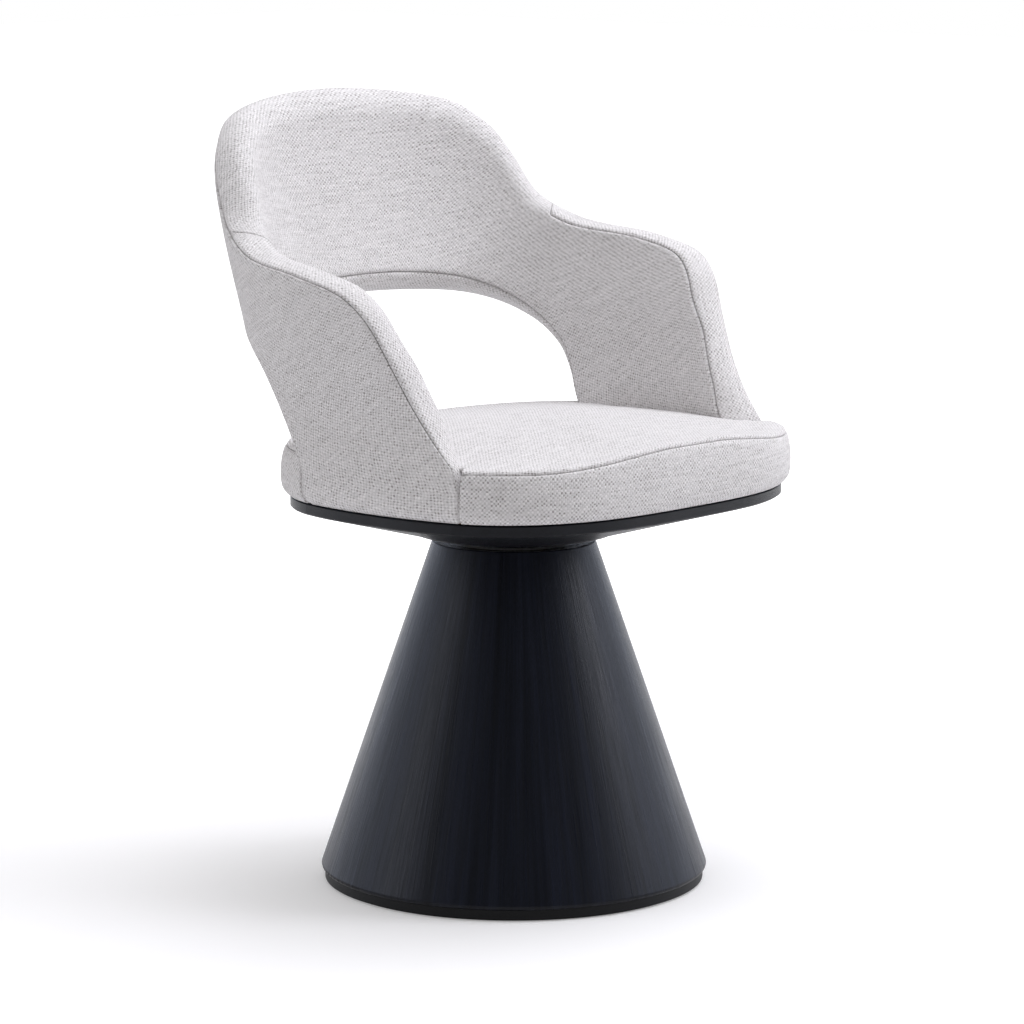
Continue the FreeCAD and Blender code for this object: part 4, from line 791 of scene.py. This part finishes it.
either = add_node(tree, "Math", {"operation": "MAXIMUM"},
                  {0: seen.outputs["Is Camera Ray"], 1: seen.outputs["Is Glossy Ray"]})
none = add_node(tree, "Emission", None, {"Strength": 0.0})
seen_glow = add_node(tree, "MixShader", None, {0: either.outputs[0], 1: none.outputs[0], 2: glow.outputs[0]})
both = add_node(tree, "AddShader", None, {0: shader.outputs[0], 1: seen_glow.outputs[0]})
tree.links.new(both.outputs[0], tree.nodes["Material Output"].inputs["Surface"])
floor.data.materials.append(paper)

world = bpy.data.worlds.new("studio")
bpy.context.scene.world = world
world.use_nodes = True
tree = world.node_tree
seen = add_node(tree, "LightPath")
behind_camera = add_node(tree, "VectorMath", {"operation": "DOT_PRODUCT"},
                         {0: add_node(tree, "TexCoord").outputs["Generated"], 1: (-0.745, -0.667, 0.0)})
dimmed = add_node(tree, "MapRange", None,
                  {"Value": behind_camera.outputs["Value"], "From Min": -0.3, "From Max": 0.7,
                   "To Min": 2.1, "To Max": 0.35})
ambient = add_node(tree, "MapRange", None,
                   {"Value": behind_camera.outputs["Value"], "From Min": -1.0, "From Max": 1.0,
                    "To Min": 0.82, "To Max": 0.36})
around = add_node(tree, "Background", None, {"Color": linear("#f4f1f0"), "Strength": ambient.outputs[0]})
mirrored = add_node(tree, "Background", None, {"Color": linear("#d6def0"), "Strength": dimmed.outputs[0]})
in_gloss = add_node(tree, "MixShader", None, {0: seen.outputs["Is Glossy Ray"], 1: around.outputs[0],
                                              2: mirrored.outputs[0]})
seen_white = add_node(tree, "Background", None, {"Color": (1, 1, 1, 1), "Strength": 1.0})
surround = add_node(tree, "MixShader", None, {0: seen.outputs["Is Camera Ray"], 1: in_gloss.outputs[0],
                                              2: seen_white.outputs[0]})
tree.links.new(surround.outputs[0], tree.nodes["World Output"].inputs["Surface"])


def soft_box(name, place, aim, width, height, power):
    """A rectangular area light at a place, turned to its aim."""
    light = bpy.data.lights.new(name, "AREA")
    light.shape = "RECTANGLE"
    light.size, light.size_y, light.energy = width, height, power
    light.color = linear("#f7f8ff")[:3]
    lamp = bpy.data.objects.new(name, light)
    bpy.context.scene.collection.objects.link(lamp)
    lamp.location = place
    lamp.rotation_euler = (Vector(aim) - Vector(place)).to_track_quat("-Z", "Y").to_euler()


soft_box("overhead box", (0.5, -0.4, 3.0), (0, 0, 0.4), 2.4, 2.0, 59)
soft_box("right box", (2.4, -2.6, 1.9), (0, 0, 0.5), 1.6, 1.6, 48)
soft_box("left side box", (-2.4, 1.6, 1.2), (0, 0, 0.3), 1.2, 1.8, 13)
